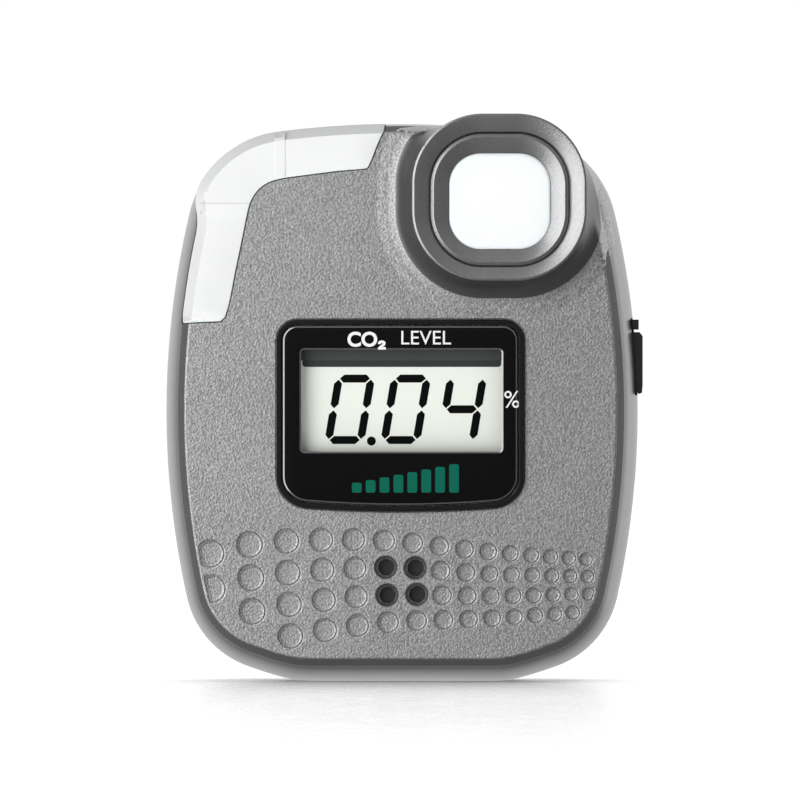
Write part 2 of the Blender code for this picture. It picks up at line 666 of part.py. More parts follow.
def rating_plate():
    slab("rating_plate", rounded(BODY_X, 11.5, (14.0, 4.0), 1.0, 3), REAR_FACE_Y + GAP, REAR_FACE_Y + 0.6,
         white_plastic())


def build():
    for item in list(bpy.data.objects):
        bpy.data.objects.remove(item)
    front_case()
    rear_case()
    case_seal()
    case_screws()
    light_guide()
    alarm_leds()
    display()
    button()
    board()
    usb_socket()
    usb_cover()
    gas_sensor()
    sensor_ribbon()
    vibration_motor()
    battery()
    belt_clip()
    rating_plate()


build()
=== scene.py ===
"""Looks of the personal carbon dioxide monitor: fine meshes, materials, floor, lights and camera.

Lengths are in millimetres until they reach a mesh, where MM turns them into metres.
"""
import json
import math

import bmesh
import bpy
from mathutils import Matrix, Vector
from mathutils.geometry import delaunay_2d_cdt


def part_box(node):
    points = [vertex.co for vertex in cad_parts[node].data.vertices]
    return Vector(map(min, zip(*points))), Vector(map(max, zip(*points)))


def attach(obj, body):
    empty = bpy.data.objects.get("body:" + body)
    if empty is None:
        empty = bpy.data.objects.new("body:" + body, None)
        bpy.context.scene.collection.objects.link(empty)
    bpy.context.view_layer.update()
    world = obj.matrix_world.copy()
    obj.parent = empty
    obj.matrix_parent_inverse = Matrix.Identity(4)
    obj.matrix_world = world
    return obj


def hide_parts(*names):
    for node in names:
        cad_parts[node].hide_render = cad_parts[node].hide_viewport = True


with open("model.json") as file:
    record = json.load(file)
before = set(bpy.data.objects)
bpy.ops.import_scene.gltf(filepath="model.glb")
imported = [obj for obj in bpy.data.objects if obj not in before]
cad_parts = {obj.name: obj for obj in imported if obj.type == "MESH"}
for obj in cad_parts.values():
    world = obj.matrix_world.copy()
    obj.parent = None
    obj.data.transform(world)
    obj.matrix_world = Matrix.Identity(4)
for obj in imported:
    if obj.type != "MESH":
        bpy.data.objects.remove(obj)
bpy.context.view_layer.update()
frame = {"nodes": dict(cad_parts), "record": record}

MM = 0.001


def node_box(node):
    """Lowest and highest corner of a CAD node, in millimetres."""
    low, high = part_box(node)
    return Vector(low) / MM, Vector(high) / MM


# -------- sizes
# the case outline has four large arcs and four corners; insets are for the sides, the top and the bottom
BODY_X = -0.38
HALF_WIDTH = 35.82
WIDEST_Z = 41.04
TOP_Z = 84.6
BOTTOM_Z = -1.9
SIDE_RADIUS = 130.9
TOP_RADIUS = 148.6
BOTTOM_RADIUS = 68.8
TOP_CORNER = 16.2
BOTTOM_CORNER = 14.5
FACE_INSET = (3.05, 1.3, 3.5)
CHAMFER_INSET = (2.0, 0.42, 2.4)

FACE_Y = -14.6
EDGE_Y = FACE_Y + 0.12
CHAMFER_Y = -12.4
SKIRT_END_Y = -5.4
FRONT_RIM_Y = -2.0
REAR_RIM_Y = -1.7
FACE_BACK_Y = -12.9
REAR_FACE_Y = 10.6
REAR_WALL_Y = 8.8
RING_Y = -18.0
WELL_FLOOR_Y = -14.4

BUTTON_LOW, BUTTON_HIGH = node_box("button_bezel")
BUTTON_X = (BUTTON_LOW.x + BUTTON_HIGH.x) / 2
BUTTON_Z = (BUTTON_LOW.z + BUTTON_HIGH.z) / 2
BUTTON_HALF = ((BUTTON_HIGH.x - BUTTON_LOW.x) / 2, (BUTTON_HIGH.z - BUTTON_LOW.z) / 2)
BUTTON_CORNER = 7.9
RING_HALF = (13.15, 12.6)
RING_CORNER = 10.6
WELL_GAP = 0.22
LENS_HALF = (7.65, 7.25)
LENS_CORNER = 4.8
WELL_Z = BUTTON_Z - 0.35
LENS_Z = BUTTON_Z - 0.6

PANEL_LOW, PANEL_HIGH = node_box("display_bezel")
PANEL_FACE_Y = node_box("display_lens")[0].y
WINDOW = ((-15.4, 14.9), (34.9, 50.3))

PORTS = ((-2.6, 17.4), (1.85, 17.3), (-2.4, 13.2), (2.1, 13.3))
PORT_RADIUS = 1.65
# how far the edge of a gas port is from its radius, and how deep it is under the face
PORT_PROFILE = ((0.32, -0.4), (0.22, 0.02), (0.08, 0.12), (0.0, 0.32), (0.0, 1.0), (-0.12, 1.35), (-0.4, 1.6),
                (-0.45, 2.6))
CASE_SCREWS = ((-27.6, 49.0), (27.2, 60.0), (-23.5, 14.0), (23.5, 14.0))


# -------- materials
PATCH_SIZE = 9.0
ROUGHNESS_SPREAD = 0.05


def surface(name, colour, roughness, metallic=0.0, grain=0.25, relief=0.012, tone=0.08, patch=0.05,
            **shader_values):
    """A Principled material whose colour, roughness and relief vary with a fine grain and soft patches.

    grain and relief are the width and height of the grain; tone and patch are how much the grain and the
    patches change the colour.
    """
    material = bpy.data.materials.new(name)
    material.use_nodes = True
    tree = material.node_tree
    nodes = tree.nodes
    shader = nodes["Principled BSDF"]
    place = nodes.new("ShaderNodeTexCoord")
    fine = nodes.new("ShaderNodeTexNoise")
    fine.inputs["Scale"].default_value = 1.0 / (grain * MM)
    fine.inputs["Detail"].default_value = 3.0
    wide = nodes.new("ShaderNodeTexNoise")
    wide.inputs["Scale"].default_value = 1.0 / (PATCH_SIZE * MM)
    wide.inputs["Detail"].default_value = 4.0
    tree.links.new(place.outputs["Object"], fine.inputs["Vector"])
    tree.links.new(place.outputs["Object"], wide.inputs["Vector"])
    blend = nodes.new("ShaderNodeMath")
    blend.operation = "MULTIPLY_ADD"
    patch_share = patch / max(tone, 0.001)
    blend.inputs[1].default_value = patch_share
    tree.links.new(wide.outputs["Fac"], blend.inputs[0])
    tree.links.new(fine.outputs["Fac"], blend.inputs[2])
    ramp = nodes.new("ShaderNodeMapRange")
    ramp.inputs["From Min"].default_value = 0.25
    ramp.inputs["From Max"].default_value = 0.75 + patch_share
    tree.links.new(blend.outputs[0], ramp.inputs["Value"])
    mix = nodes.new("ShaderNodeMix")
    mix.data_type = "RGBA"
    mix.inputs["A"].default_value = (*[c * (1 - tone) for c in colour], 1.0)
    mix.inputs["B"].default_value = (*[min(c * (1 + tone), 1.0) for c in colour], 1.0)
    tree.links.new(ramp.outputs["Result"], mix.inputs["Factor"])
    tree.links.new(mix.outputs["Result"], shader.inputs["Base Color"])
    rough = nodes.new("ShaderNodeMapRange")
    rough.inputs["To Min"].default_value = max(roughness - ROUGHNESS_SPREAD, 0.02)
    rough.inputs["To Max"].default_value = roughness + ROUGHNESS_SPREAD
    tree.links.new(wide.outputs["Fac"], rough.inputs["Value"])
    tree.links.new(rough.outputs["Result"], shader.inputs["Roughness"])
    bump = nodes.new("ShaderNodeBump")
    bump.inputs["Distance"].default_value = relief * MM
    tree.links.new(fine.outputs["Fac"], bump.inputs["Height"])
    tree.links.new(bump.outputs["Normal"], shader.inputs["Normal"])
    shader.inputs["Metallic"].default_value = metallic
    for key, value in shader_values.items():
        shader.inputs[key.replace("_", " ")].default_value = value
    return material


SILVER = surface("silver_paint", (0.42, 0.42, 0.425), 0.44, 0.9, grain=0.33, relief=0.07, tone=0.5)
SILVER_SMOOTH = surface("silver_skirt", (0.34, 0.34, 0.345), 0.36, 0.9, grain=0.16, relief=0.01, tone=0.07)
RING_PAINT = surface("ring_paint", (0.33, 0.33, 0.335), 0.3, 0.85, grain=0.26, relief=0.03, tone=0.2)
# a darker copy of the ring paint for the boss's steep flank only: painted shade where the boss's own body
# darkens it
FLANK_PAINTED_SHADE = surface("flank_painted_shade", (0.15, 0.15, 0.153), 0.36, 0.85, grain=0.2, relief=0.01, tone=0.1)
# the chamfer band's colour: partly its own darker plastic, partly painted shade of the steep chamfer
DARK_BAND_AND_SHADE = surface("dark_band_and_painted_shade", (0.055, 0.055, 0.057), 0.5, 0.2, grain=0.2, relief=0.008)
FROSTED = surface("frosted_plastic", (0.8, 0.81, 0.81), 0.4, grain=0.35, relief=0.012, tone=0.04,
                  Subsurface_Weight=0.2, Subsurface_Scale=0.0015, Specular_IOR_Level=0.35)
# a greyer copy of the frosted plastic for the guide's outer bevel: painted shade on the faces that tilt away
FROSTED_PAINTED_SHADE = surface("frosted_painted_shade", (0.66, 0.67, 0.67), 0.42, grain=0.35, relief=0.01, tone=0.04,
                       Subsurface_Weight=0.1, Subsurface_Scale=0.001, Specular_IOR_Level=0.3)
LENS_WHITE = surface("button_white", (0.93, 0.93, 0.93), 0.32, grain=0.3, relief=0.006, tone=0.02,
                     Subsurface_Weight=0.3, Subsurface_Scale=0.002)
BLACK = surface("black_plastic", (0.006, 0.006, 0.0065), 0.2, relief=0.003, tone=0.15, Specular_IOR_Level=0.4)
POLISHED_EDGE = surface("polished_edge", (0.24, 0.24, 0.25), 0.16, 0.8, grain=0.5, relief=0.001, tone=0.05)
BLACK_SATIN = surface("clip_plastic", (0.018, 0.018, 0.019), 0.45, grain=0.35, relief=0.03, tone=0.15)
GLOSS = surface("black_gloss", (0.003, 0.0024, 0.0027), 0.08, grain=1.5, relief=0.001, tone=0.1,
                Specular_IOR_Level=0.25)
LCD_PALE = surface("lcd_pale", (0.84, 0.88, 0.81), 0.35, grain=0.15, relief=0.002, tone=0.025)
# dark sheets where the window's edge shades the top of the display glass: a band of painted shade above a
# darker painted shadow
LCD_PAINTED_SHADE = surface("lcd_painted_shade", (0.05, 0.056, 0.053), 0.3, grain=0.3, relief=0.002, tone=0.08)
LCD_PAINTED_SHADOW = surface("lcd_painted_shadow", (0.026, 0.034, 0.031), 0.3, grain=0.3, relief=0.002, tone=0.08)
INK_BLACK = surface("segment_black", (0.003, 0.003, 0.003), 0.5, grain=0.3, relief=0.001, tone=0.1,
                    Specular_IOR_Level=0.05)
INK_WHITE = surface("print_white", (0.85, 0.85, 0.85), 0.45, grain=0.1, relief=0.001, tone=0.03)
INK_GREEN = surface("print_green", (0.0, 0.125, 0.08), 0.45, grain=0.1, relief=0.001, tone=0.08,
                    Specular_IOR_Level=0.1)
RUBBER = surface("rubber", (0.016, 0.016, 0.017), 0.7, grain=0.2, relief=0.02, tone=0.2)
FOAM = surface("foam", (0.04, 0.04, 0.043), 0.95, grain=0.4, relief=0.15, tone=0.3)
WHITE = surface("white_plastic", (0.75, 0.75, 0.73), 0.42, grain=0.3, relief=0.01, tone=0.04)
LAMINATE = surface("board_laminate", (0.015, 0.11, 0.05), 0.38, grain=0.5, relief=0.01, tone=0.25)
STEEL = surface("steel", (0.55, 0.55, 0.56), 0.28, 1.0, grain=0.3, relief=0.008, tone=0.08)
BRASS = surface("brass", (0.7, 0.5, 0.2), 0.3, 1.0, grain=0.3, relief=0.008, tone=0.08)
FOIL = surface("battery_wrap", (0.5, 0.52, 0.55), 0.35, 0.5, grain=0.8, relief=0.03, tone=0.06)
MEMBRANE = surface("membrane", (0.03, 0.03, 0.03), 0.8, grain=0.12, relief=0.05, tone=0.5)

# the look of each material slot on the CAD nodes that stay visible
SLOT_LOOKS = {"silver_paint": SILVER, "frosted_plastic": FROSTED, "black_plastic": BLACK_SATIN,
              "black_gloss": GLOSS, "display_glass": LCD_PALE, "white_plastic": WHITE, "rubber": RUBBER,
              "foam": FOAM, "board_laminate": LAMINATE, "steel": STEEL, "brass": BRASS, "battery_wrap": FOIL,
              "membrane": MEMBRANE}


# -------- mesh helpers
def finish_piece(name, bm, materials, body, nodes=(), crease=30.0):
    """Turn a bmesh into a piece on a body; nodes are the CAD nodes it stands for."""
    mesh = bpy.data.meshes.new(name)
    bmesh.ops.recalc_face_normals(bm, faces=bm.faces)
    bm.to_mesh(mesh)
    bm.free()
    mesh.shade_smooth()
    mesh.set_sharp_from_angle(angle=math.radians(crease))
    for material in materials:
        mesh.materials.append(material)
    piece = bpy.data.objects.new(name, mesh)
    bpy.context.scene.collection.objects.link(piece)
    if body:
        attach(piece, body)
        if nodes:
            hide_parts(*nodes)
    return piece


def add_loop(bm, points, y=None):
    """Vertices at (x, z) points at one depth, or at (x, y, z) points."""
    if y is None:
        return [bm.verts.new(Vector(p) * MM) for p in points]
    return [bm.verts.new(Vector((p[0], y, p[1])) * MM) for p in points]


def bridge(bm, near, far, material=0):
    """Faces between two closed loops with the same number of vertices."""
    count = len(near)
    for i in range(count):
        j = (i + 1) % count
        face = bm.faces.new((near[i], near[j], far[j], far[i]))
        face.material_index = material


def loft(bm, loops, cap_first=True, cap_last=True, ring=False, material=0):
    """Join loops of vertices with faces; a ring closes on its first loop and has no caps."""
    for near, far in zip(loops, loops[1:]):
        bridge(bm, near, far, material)
    if ring:
        bridge(bm, loops[-1], loops[0], material)
        return
    for wanted, loop in ((cap_first, loops[0]), (cap_last, loops[-1])):
        if wanted:
            face = bm.faces.new(loop)
            face.material_index = material


def circle(x, z, radius, count=40):
    angles = [2 * math.pi * i / count for i in range(count)]
    return [(x + radius * math.cos(a), z + radius * math.sin(a)) for a in angles]


def rounded(x, z, half, corner, steps=10):
    """A rectangle with round corners about a place, anticlockwise from its lower right corner."""
    points = []
    for turn, (sx, sz) in enumerate(((1, -1), (1, 1), (-1, 1), (-1, -1))):
        cx = x + sx * (half[0] - corner)
        cz = z + sz * (half[1] - corner)
        for i in range(steps + 1):
            angle = math.radians(-90 + 90 * turn + 90 * i / steps)
            points.append((cx + corner * math.cos(angle), cz + corner * math.sin(angle)))
    return points


def corner_centre(centre_a, radius_a, centre_b, radius_b, corner, right, high):
    """Centre of the small arc that touches two large arcs from inside."""
    a = Vector(centre_a)
    b = Vector(centre_b)
    span = (b - a).length
    reach_a = radius_a - corner
    reach_b = radius_b - corner
    along = (reach_a ** 2 - reach_b ** 2 + span ** 2) / (2 * span)
    across = math.sqrt(reach_a ** 2 - along ** 2)
    unit = (b - a) / span
    middle = a + unit * along
    side = Vector((-unit.y, unit.x))
    both = (middle + side * across, middle - side * across)
    return max(both, key=lambda p: p.x * right + p.y * high)


def touch_angle(first, second):
    """Direction in which two arcs that touch from inside meet."""
    (big, small) = (first, second) if first[1] > second[1] else (second, first)
    return math.atan2(small[0][1] - big[0][1], small[0][0] - big[0][0])


def case_outline(inset=(0.0, 0.0, 0.0), side_steps=26, flat_steps=24, corner_steps=18):
    """The case outline, drawn in by the insets, anticlockwise from its lower right."""
    side, top, bottom = inset
    right = ((BODY_X + HALF_WIDTH - SIDE_RADIUS, WIDEST_Z), SIDE_RADIUS - side, side_steps)
    left = ((BODY_X - HALF_WIDTH + SIDE_RADIUS, WIDEST_Z), SIDE_RADIUS - side, side_steps)
    upper = ((BODY_X, TOP_Z - TOP_RADIUS), TOP_RADIUS - top, flat_steps)
    lower = ((BODY_X, BOTTOM_Z + BOTTOM_RADIUS), BOTTOM_RADIUS - bottom, flat_steps)
    high = TOP_CORNER - (side + top) / 2
    low = BOTTOM_CORNER - (side + bottom) / 2
    corners = []
    for first, second, radius, sx, sz in ((right, upper, high, 1, 1), (upper, left, high, -1, 1),
                                          (left, lower, low, -1, -1), (lower, right, low, 1, -1)):
        centre = corner_centre(first[0], first[1], second[0], second[1], radius, sx, sz)
        corners.append(((centre.x, centre.y), radius, corner_steps))
    arcs = [right, corners[0], upper, corners[1], left, corners[2], lower, corners[3]]
    points = []
    for index, (centre, radius, steps) in enumerate(arcs):
        start = touch_angle(arcs[index - 1], arcs[index])
        end = touch_angle(arcs[index], arcs[(index + 1) % len(arcs)])
        while end < start:
            end += 2 * math.pi
        for i in range(steps):
            angle = start + (end - start) * i / steps
            x = centre[0] + radius * math.cos(angle)
            z = centre[1] + radius * math.sin(angle)
            points.append((x, soft_floor(z, bottom)))
    return points


def soft_floor(z, floor):
    """z, eased to stay at or above the floor, so that the flat foot has no corner."""
    ease = 0.5
    lift = z - floor
    return floor + (lift + math.sqrt(lift * lift + ease * ease)) / 2 - 0.25 * ease * math.exp(-abs(lift))


def even(inset):
    """The same inset on the sides, the top and the bottom."""
    return (inset, inset, inset)


def mix_inset(a, b, t):
    return tuple(p + (q - p) * t for p, q in zip(a, b))


def nearest(point, outline):
    """Distance from a point to a closed outline, the nearest point on it and the direction along it there."""
    best = (1e9, None, None)
    for (ax, az), (bx, bz) in zip(outline, outline[1:] + outline[:1]):
        dx, dz = bx - ax, bz - az
        size = dx * dx + dz * dz
        if size < 1e-12:
            continue
        t = max(0.0, min(1.0, ((point[0] - ax) * dx + (point[1] - az) * dz) / size))
        px, pz = ax + dx * t, az + dz * t
        reach = math.hypot(point[0] - px, point[1] - pz)
        if reach < best[0]:
            length = math.sqrt(size)
            best = (reach, (px, pz), (dx / length, dz / length))
    return best


def inside(point, outline):
    """Whether a point lies in a closed outline."""
    x, z = point
    answer = False
    for (ax, az), (bx, bz) in zip(outline, outline[1:] + outline[:1]):
        if (az > z) != (bz > z) and x < (bx - ax) * (z - az) / (bz - az) + ax:
            answer = not answer
    return answer


def cut(piece, bm):
    """Take a closed cutter away from a piece and apply the result."""
    mesh = bpy.data.meshes.new("cutter")
    bmesh.ops.recalc_face_normals(bm, faces=bm.faces)
    bm.to_mesh(mesh)
    bm.free()
    tool = bpy.data.objects.new("cutter", mesh)
    bpy.context.scene.collection.objects.link(tool)
    modifier = piece.modifiers.new("cut", "BOOLEAN")
    modifier.operation = "DIFFERENCE"
    modifier.object = tool
    graph = bpy.context.evaluated_depsgraph_get()
    result = bpy.data.meshes.new_from_object(piece.evaluated_get(graph), depsgraph=graph)
    piece.modifiers.remove(modifier)
    old = piece.data
    piece.data = result
    result.name = old.name
    bpy.data.objects.remove(tool)
    result.shade_smooth()
    result.set_sharp_from_angle(angle=math.radians(30))
    return piece


# -------- front case
FACE_EDGE = case_outline(FACE_INSET)
SILHOUETTE = case_outline()
# the same lines with fewer points, for finding the depth of a place
LOOKUP = {name: case_outline(inset, 12, 10, 18) for name, inset in
          (("face", FACE_INSET), ("chamfer", CHAMFER_INSET), ("edge", even(0.0)))}
SKIRT_SLOPE = 0.28


def skirt_y(u):
    """Depth of the skirt; u runs from 0 at the chamfer line to 1 at the silhouette."""
    share = SKIRT_SLOPE * u + (1 - SKIRT_SLOPE) * (1 - math.sqrt(max(0.0, 1 - u * u)))
    return CHAMFER_Y + (SKIRT_END_Y - CHAMFER_Y) * share


def case_front_y(point):
    """Depth of the case's front surface at a place, without the boss."""
    if inside(point, LOOKUP["face"]):
        return FACE_Y
    to_chamfer = nearest(point, LOOKUP["chamfer"])[0]
    if inside(point, LOOKUP["chamfer"]):
        to_face = nearest(point, LOOKUP["face"])[0]
        return EDGE_Y + (CHAMFER_Y - EDGE_Y) * to_face / (to_face + to_chamfer)
    if inside(point, LOOKUP["edge"]):
        to_edge = nearest(point, LOOKUP["edge"])[0]
        return skirt_y(to_chamfer / (to_chamfer + to_edge))
    return SKIRT_END_Y


FIRST_CIRCLE_X = -29.12
CIRCLE_PITCH = 5.95
PITCH_SHRINK = 0.938
CIRCLE_RADIUS = 2.0
RADIUS_SHRINK = 0.946
ROW_PITCH = 5.3
ROW_SHRINK = 0.9505
ROW_DRIFT = 0.2
COLUMNS_OF_ROW = ((1, 15), (1, 15), (2, 15), (3, 14))
PORT_COLUMNS = (6, 7)
PATTERN_MIDDLE_Z = 14.7
EDGE_MARGIN = 0.62
# how far each line of an engraved circle lies outside its radius, and its depth
GROOVE = ((0.36, 0.0), (0.16, 0.0), (0.09, 0.035), (0.04, 0.3), (-0.06, 0.3), (-0.11, 0.0), (-0.15, 0.0),
          (-0.2, 0.01), (-0.38, 0.058), (-0.46, 0.062))


def ring_pattern():
    """Centres and radii of the engraved circles, which shrink from left to right."""
    circles = []
    for row, (first, last) in enumerate(COLUMNS_OF_ROW):
        for column in range(first, last + 1):
            if row in (1, 2) and column in PORT_COLUMNS:
                continue
            step = column - 1
            along = CIRCLE_PITCH * (1 - PITCH_SHRINK ** step) / (1 - PITCH_SHRINK)
            x = FIRST_CIRCLE_X + along + row * ROW_DRIFT
            dip = 3.2 * math.exp(-step / 1.3)
            swell = 0.65 * math.exp(-((column - 6) / 2.6) ** 2)
            middle = PATTERN_MIDDLE_Z - dip + swell
            z = middle + (1.5 - row) * ROW_PITCH * ROW_SHRINK ** step
            circles.append((x, z, CIRCLE_RADIUS * RADIUS_SHRINK ** step))
    return circles


def circle_loop(x, z, radius, grow, edge, count=44):
    """A circle, cut off straight where it would pass the margin along the face edge."""
    reach, touch, _ = edge
    room = reach - EDGE_MARGIN + grow
    size = radius + grow
    if room >= size:
        return circle(x, z, size, count)
    toward = math.atan2(touch[1] - z, touch[0] - x)
    half = math.acos(room / size)
    arc = 2 * math.pi - 2 * half
    return [(x + size * math.cos(toward + half + arc * i / (count - 1)),
             z + size * math.sin(toward + half + arc * i / (count - 1))) for i in range(count)]


def face_plate(bm):
    """The face with its engraved circles, up to its edge. Returns the edge's vertices in order."""
    places = []
    heights = []
    edges = []

    def add(points, y):
        start = len(places)
        places.extend(points)
        heights.extend([y] * len(points))
        edges.extend((start + i, start + (i + 1) % len(points)) for i in range(len(points)))

    add(FACE_EDGE, EDGE_Y)
    for grow, y in ((0.1, FACE_Y + 0.03), (0.22, FACE_Y), (0.4, FACE_Y)):
        add(case_outline(mix_inset(FACE_INSET, tuple(v + 1 for v in FACE_INSET), grow)), y)
    for x, z, radius in ring_pattern():
        edge = nearest((x, z), FACE_EDGE)
        shrink = 0.65 + 0.35 * radius / CIRCLE_RADIUS
        for grow, depth in GROOVE:
            add(circle_loop(x, z, radius, grow * shrink, edge), FACE_Y + depth * shrink)
    out, _, faces, origin, _, _ = delaunay_2d_cdt([Vector(p) for p in places], edges, [], 0, 1e-5)
    vertices = []
    rim = {}
    for place, sources in zip(out, origin):
        y = heights[sources[0]] if sources else FACE_Y
        vertex = bm.verts.new(Vector((place.x, y, place.y)) * MM)
        vertices.append(vertex)
        for source in sources:
            if source < len(FACE_EDGE):
                rim[source] = vertex
    for face in faces:
        bm.faces.new([vertices[i] for i in face])
    return [rim[i] for i in range(len(FACE_EDGE))]


def plan_prism(bm, points, y_front, y_back):
    """A straight prism between two depths over an outline."""
    loft(bm, [add_loop(bm, points, y_front), add_loop(bm, points, y_back)])


def bar_along_x(bm, low, high, left, right):
    """A box from two (y, z) corners and two places along X."""
    profile = [(low[0], low[1]), (high[0], low[1]), (high[0], high[1]), (low[0], high[1])]
    loft(bm, [add_loop(bm, [(x, y, z) for y, z in profile]) for x in (left, right)])


def cut_front_openings(piece):
    """Cut the pockets of panel, light guide, button and USB cover, then the ports, then the holes."""
    cutters = bmesh.new()
    plan_prism(cutters, panel_outline(-0.14), FACE_Y - 1, -13.6)
    plan_prism(cutters, guide_outline(-0.16), FACE_Y - 2, -10.8)
    plan_prism(cutters, rounded(BUTTON_X, BUTTON_Z, (11.6, 11.1), 8.8), FACE_Y - 1, -11.5)
    low, high = node_box("usb_cover")
    top = node_box("usb_cover_anchor")[1].z
    bar_along_x(cutters, (low.y - 0.2, low.z - 0.2), (high.y + 0.2, top + 0.2), 34.3, 40.0)
    cut(piece, cutters)
    for x, z in PORTS:
        bore = bmesh.new()
        loft(bore, [add_loop(bore, circle(x, z, PORT_RADIUS + grow, 36), FACE_Y + depth)
                    for grow, depth in PORT_PROFILE])
        cut(piece, bore)
    openings = bmesh.new()
    window_z = (WINDOW[1][0] + WINDOW[1][1]) / 2
    plan_prism(openings, rounded(BODY_X + 0.1, window_z, (17.0, 10.4), 1.0), -14.2, -12.0)
    bar_along_x(openings, (-7.35, 44.95), (-3.85, 53.3), 30.0, 36.0)
    cut(piece, openings)


def front_case():
    """Face, dark chamfer band (darker plastic with painted shade), round skirt and the inner wall, as one
    shell.
    """
    bm = bmesh.new()
    loops = [face_plate(bm)]
    for t in (0.08, 0.5, 0.94, 1.0):
        y = EDGE_Y + (CHAMFER_Y - 0.05 - EDGE_Y) * t
        loops.append(add_loop(bm, case_outline(mix_inset(FACE_INSET, CHAMFER_INSET, min(t, 0.97))), y))
    # the chamfer band gets the dark material, which also carries painted shade
    loft(bm, loops, cap_first=False, cap_last=False, material=1)
    skirt = [loops[-1]]
    steps = 16
    for i in range(steps + 1):
        u = math.sin(math.radians(90) * i / steps)
        skirt.append(add_loop(bm, case_outline(mix_inset(CHAMFER_INSET, even(0.0), u)), skirt_y(u)))
    skirt.append(add_loop(bm, SILHOUETTE, FRONT_RIM_Y - 0.15))
    skirt.append(add_loop(bm, case_outline(even(0.12)), FRONT_RIM_Y))
    for y, inset in ((FRONT_RIM_Y, 2.2), (-9.0, 2.7), (-11.0, 3.6), (FACE_BACK_Y, 5.2)):
        skirt.append(add_loop(bm, case_outline(even(inset)), y))
    loft(bm, skirt, cap_first=False, cap_last=True, material=2)
    piece = finish_piece("front_case_skin", bm, (SILVER, DARK_BAND_AND_SHADE, SILVER_SMOOTH), "case",
                         ("front_case",))
    cut_front_openings(piece)


# -------- ring round the button
# share of the way from the ring's edge to the flare's foot, and of the height from the case to the ring
FLARE_KNOTS = ((0.0, 0.965), (0.015, 0.93), (0.045, 0.83), (0.085, 0.69), (0.14, 0.54), (0.21, 0.405),
               (0.29, 0.28), (0.37, 0.18), (0.44, 0.115), (0.485, 0.085), (0.52, 0.071), (0.6, 0.051),
               (0.7, 0.031), (0.8, 0.015), (0.9, 0.004), (1.0, -0.004))
FLARE = [(a[0] + (b[0] - a[0]) * k / 3, a[1] + (b[1] - a[1]) * k / 3)
         for a, b in zip(FLARE_KNOTS, FLARE_KNOTS[1:]) for k in range(3)] + [FLARE_KNOTS[-1]]
FLARE_WIDTH = 5.4
FLARE_TOP = FLARE_KNOTS[0][1]
GENTLE_FROM = 0.485
SHORT_FLARE = 3.2
FLARE_COVER = 0.1
BOSS_STEPS = 34
STRAIGHT_PARTS = 8


def smooth_step(t):
    t = max(0.0, min(1.0, t))
    return t * t * (3 - 2 * t)


def ring_normals(steps):
    """Outward directions that go with the points of a rounded outline."""
    turns = [math.radians(-90 + 90 * turn + 90 * i / steps) for turn in range(4) for i in range(steps + 1)]
    return [(math.cos(angle), math.sin(angle)) for angle in turns]


def spread(outline, normals):
    """Add points along the straight parts of a rounded outline, where the flare has to follow the case."""
    places, directions = [], []
    count = len(outline)
    for i, (point, normal) in enumerate(zip(outline, normals)):
        after = outline[(i + 1) % count]
        parts = STRAIGHT_PARTS if (i + 1) % (count // 4) == 0 else 1
        for k in range(parts):
            share = k / parts
            places.append(tuple(a + (b - a) * share for a, b in zip(point, after)))
            directions.append(normal)
    return places, directions


def flare_reach(edge, directions):
    """How far the flare runs out from each point of the ring's edge before it would pass the silhouette."""
    safe = case_outline(even(0.12))
    reach = []
    for (x, z), (nx, nz) in zip(edge, directions):
        foot = FLARE_WIDTH
        while foot > -2.5 and not inside((x + nx * foot, z + nz * foot), safe):
            foot -= 0.05
        reach.append(foot)
    count = len(reach)
    for _ in range(4):
        eased = [(reach[i - 1] + reach[i] + reach[(i + 1) % count]) / 3 for i in range(count)]
        reach = [min(a, b) for a, b in zip(reach, eased)]
    return reach


def flare_loops(bm, edge, directions):
    """Loops from the flare's foot up to the ring; a short flare is a plain slope, a full one is curved."""
    reach = flare_reach(edge, directions)
    loops = []
    for far, share in reversed(FLARE):
        points = []
        for (x, z), (nx, nz), foot in zip(edge, directions, reach):
            short = smooth_step((FLARE_WIDTH - foot) / SHORT_FLARE)
            place = (x + nx * foot * far, z + nz * foot * far)
            end_y = case_front_y((x + nx * foot, z + nz * foot))
            case_y = case_front_y(place)
            base = case_y * (1 - short) + end_y * short
            level = share * (1 - short) + (1 - far) * FLARE_TOP * short
            cover = case_y - FLARE_COVER * min(1.0, (1 - far) * 4)
            points.append((place[0], min(base + (RING_Y - base) * level, cover), place[1]))
        loops.append(add_loop(bm, points))
    return loops


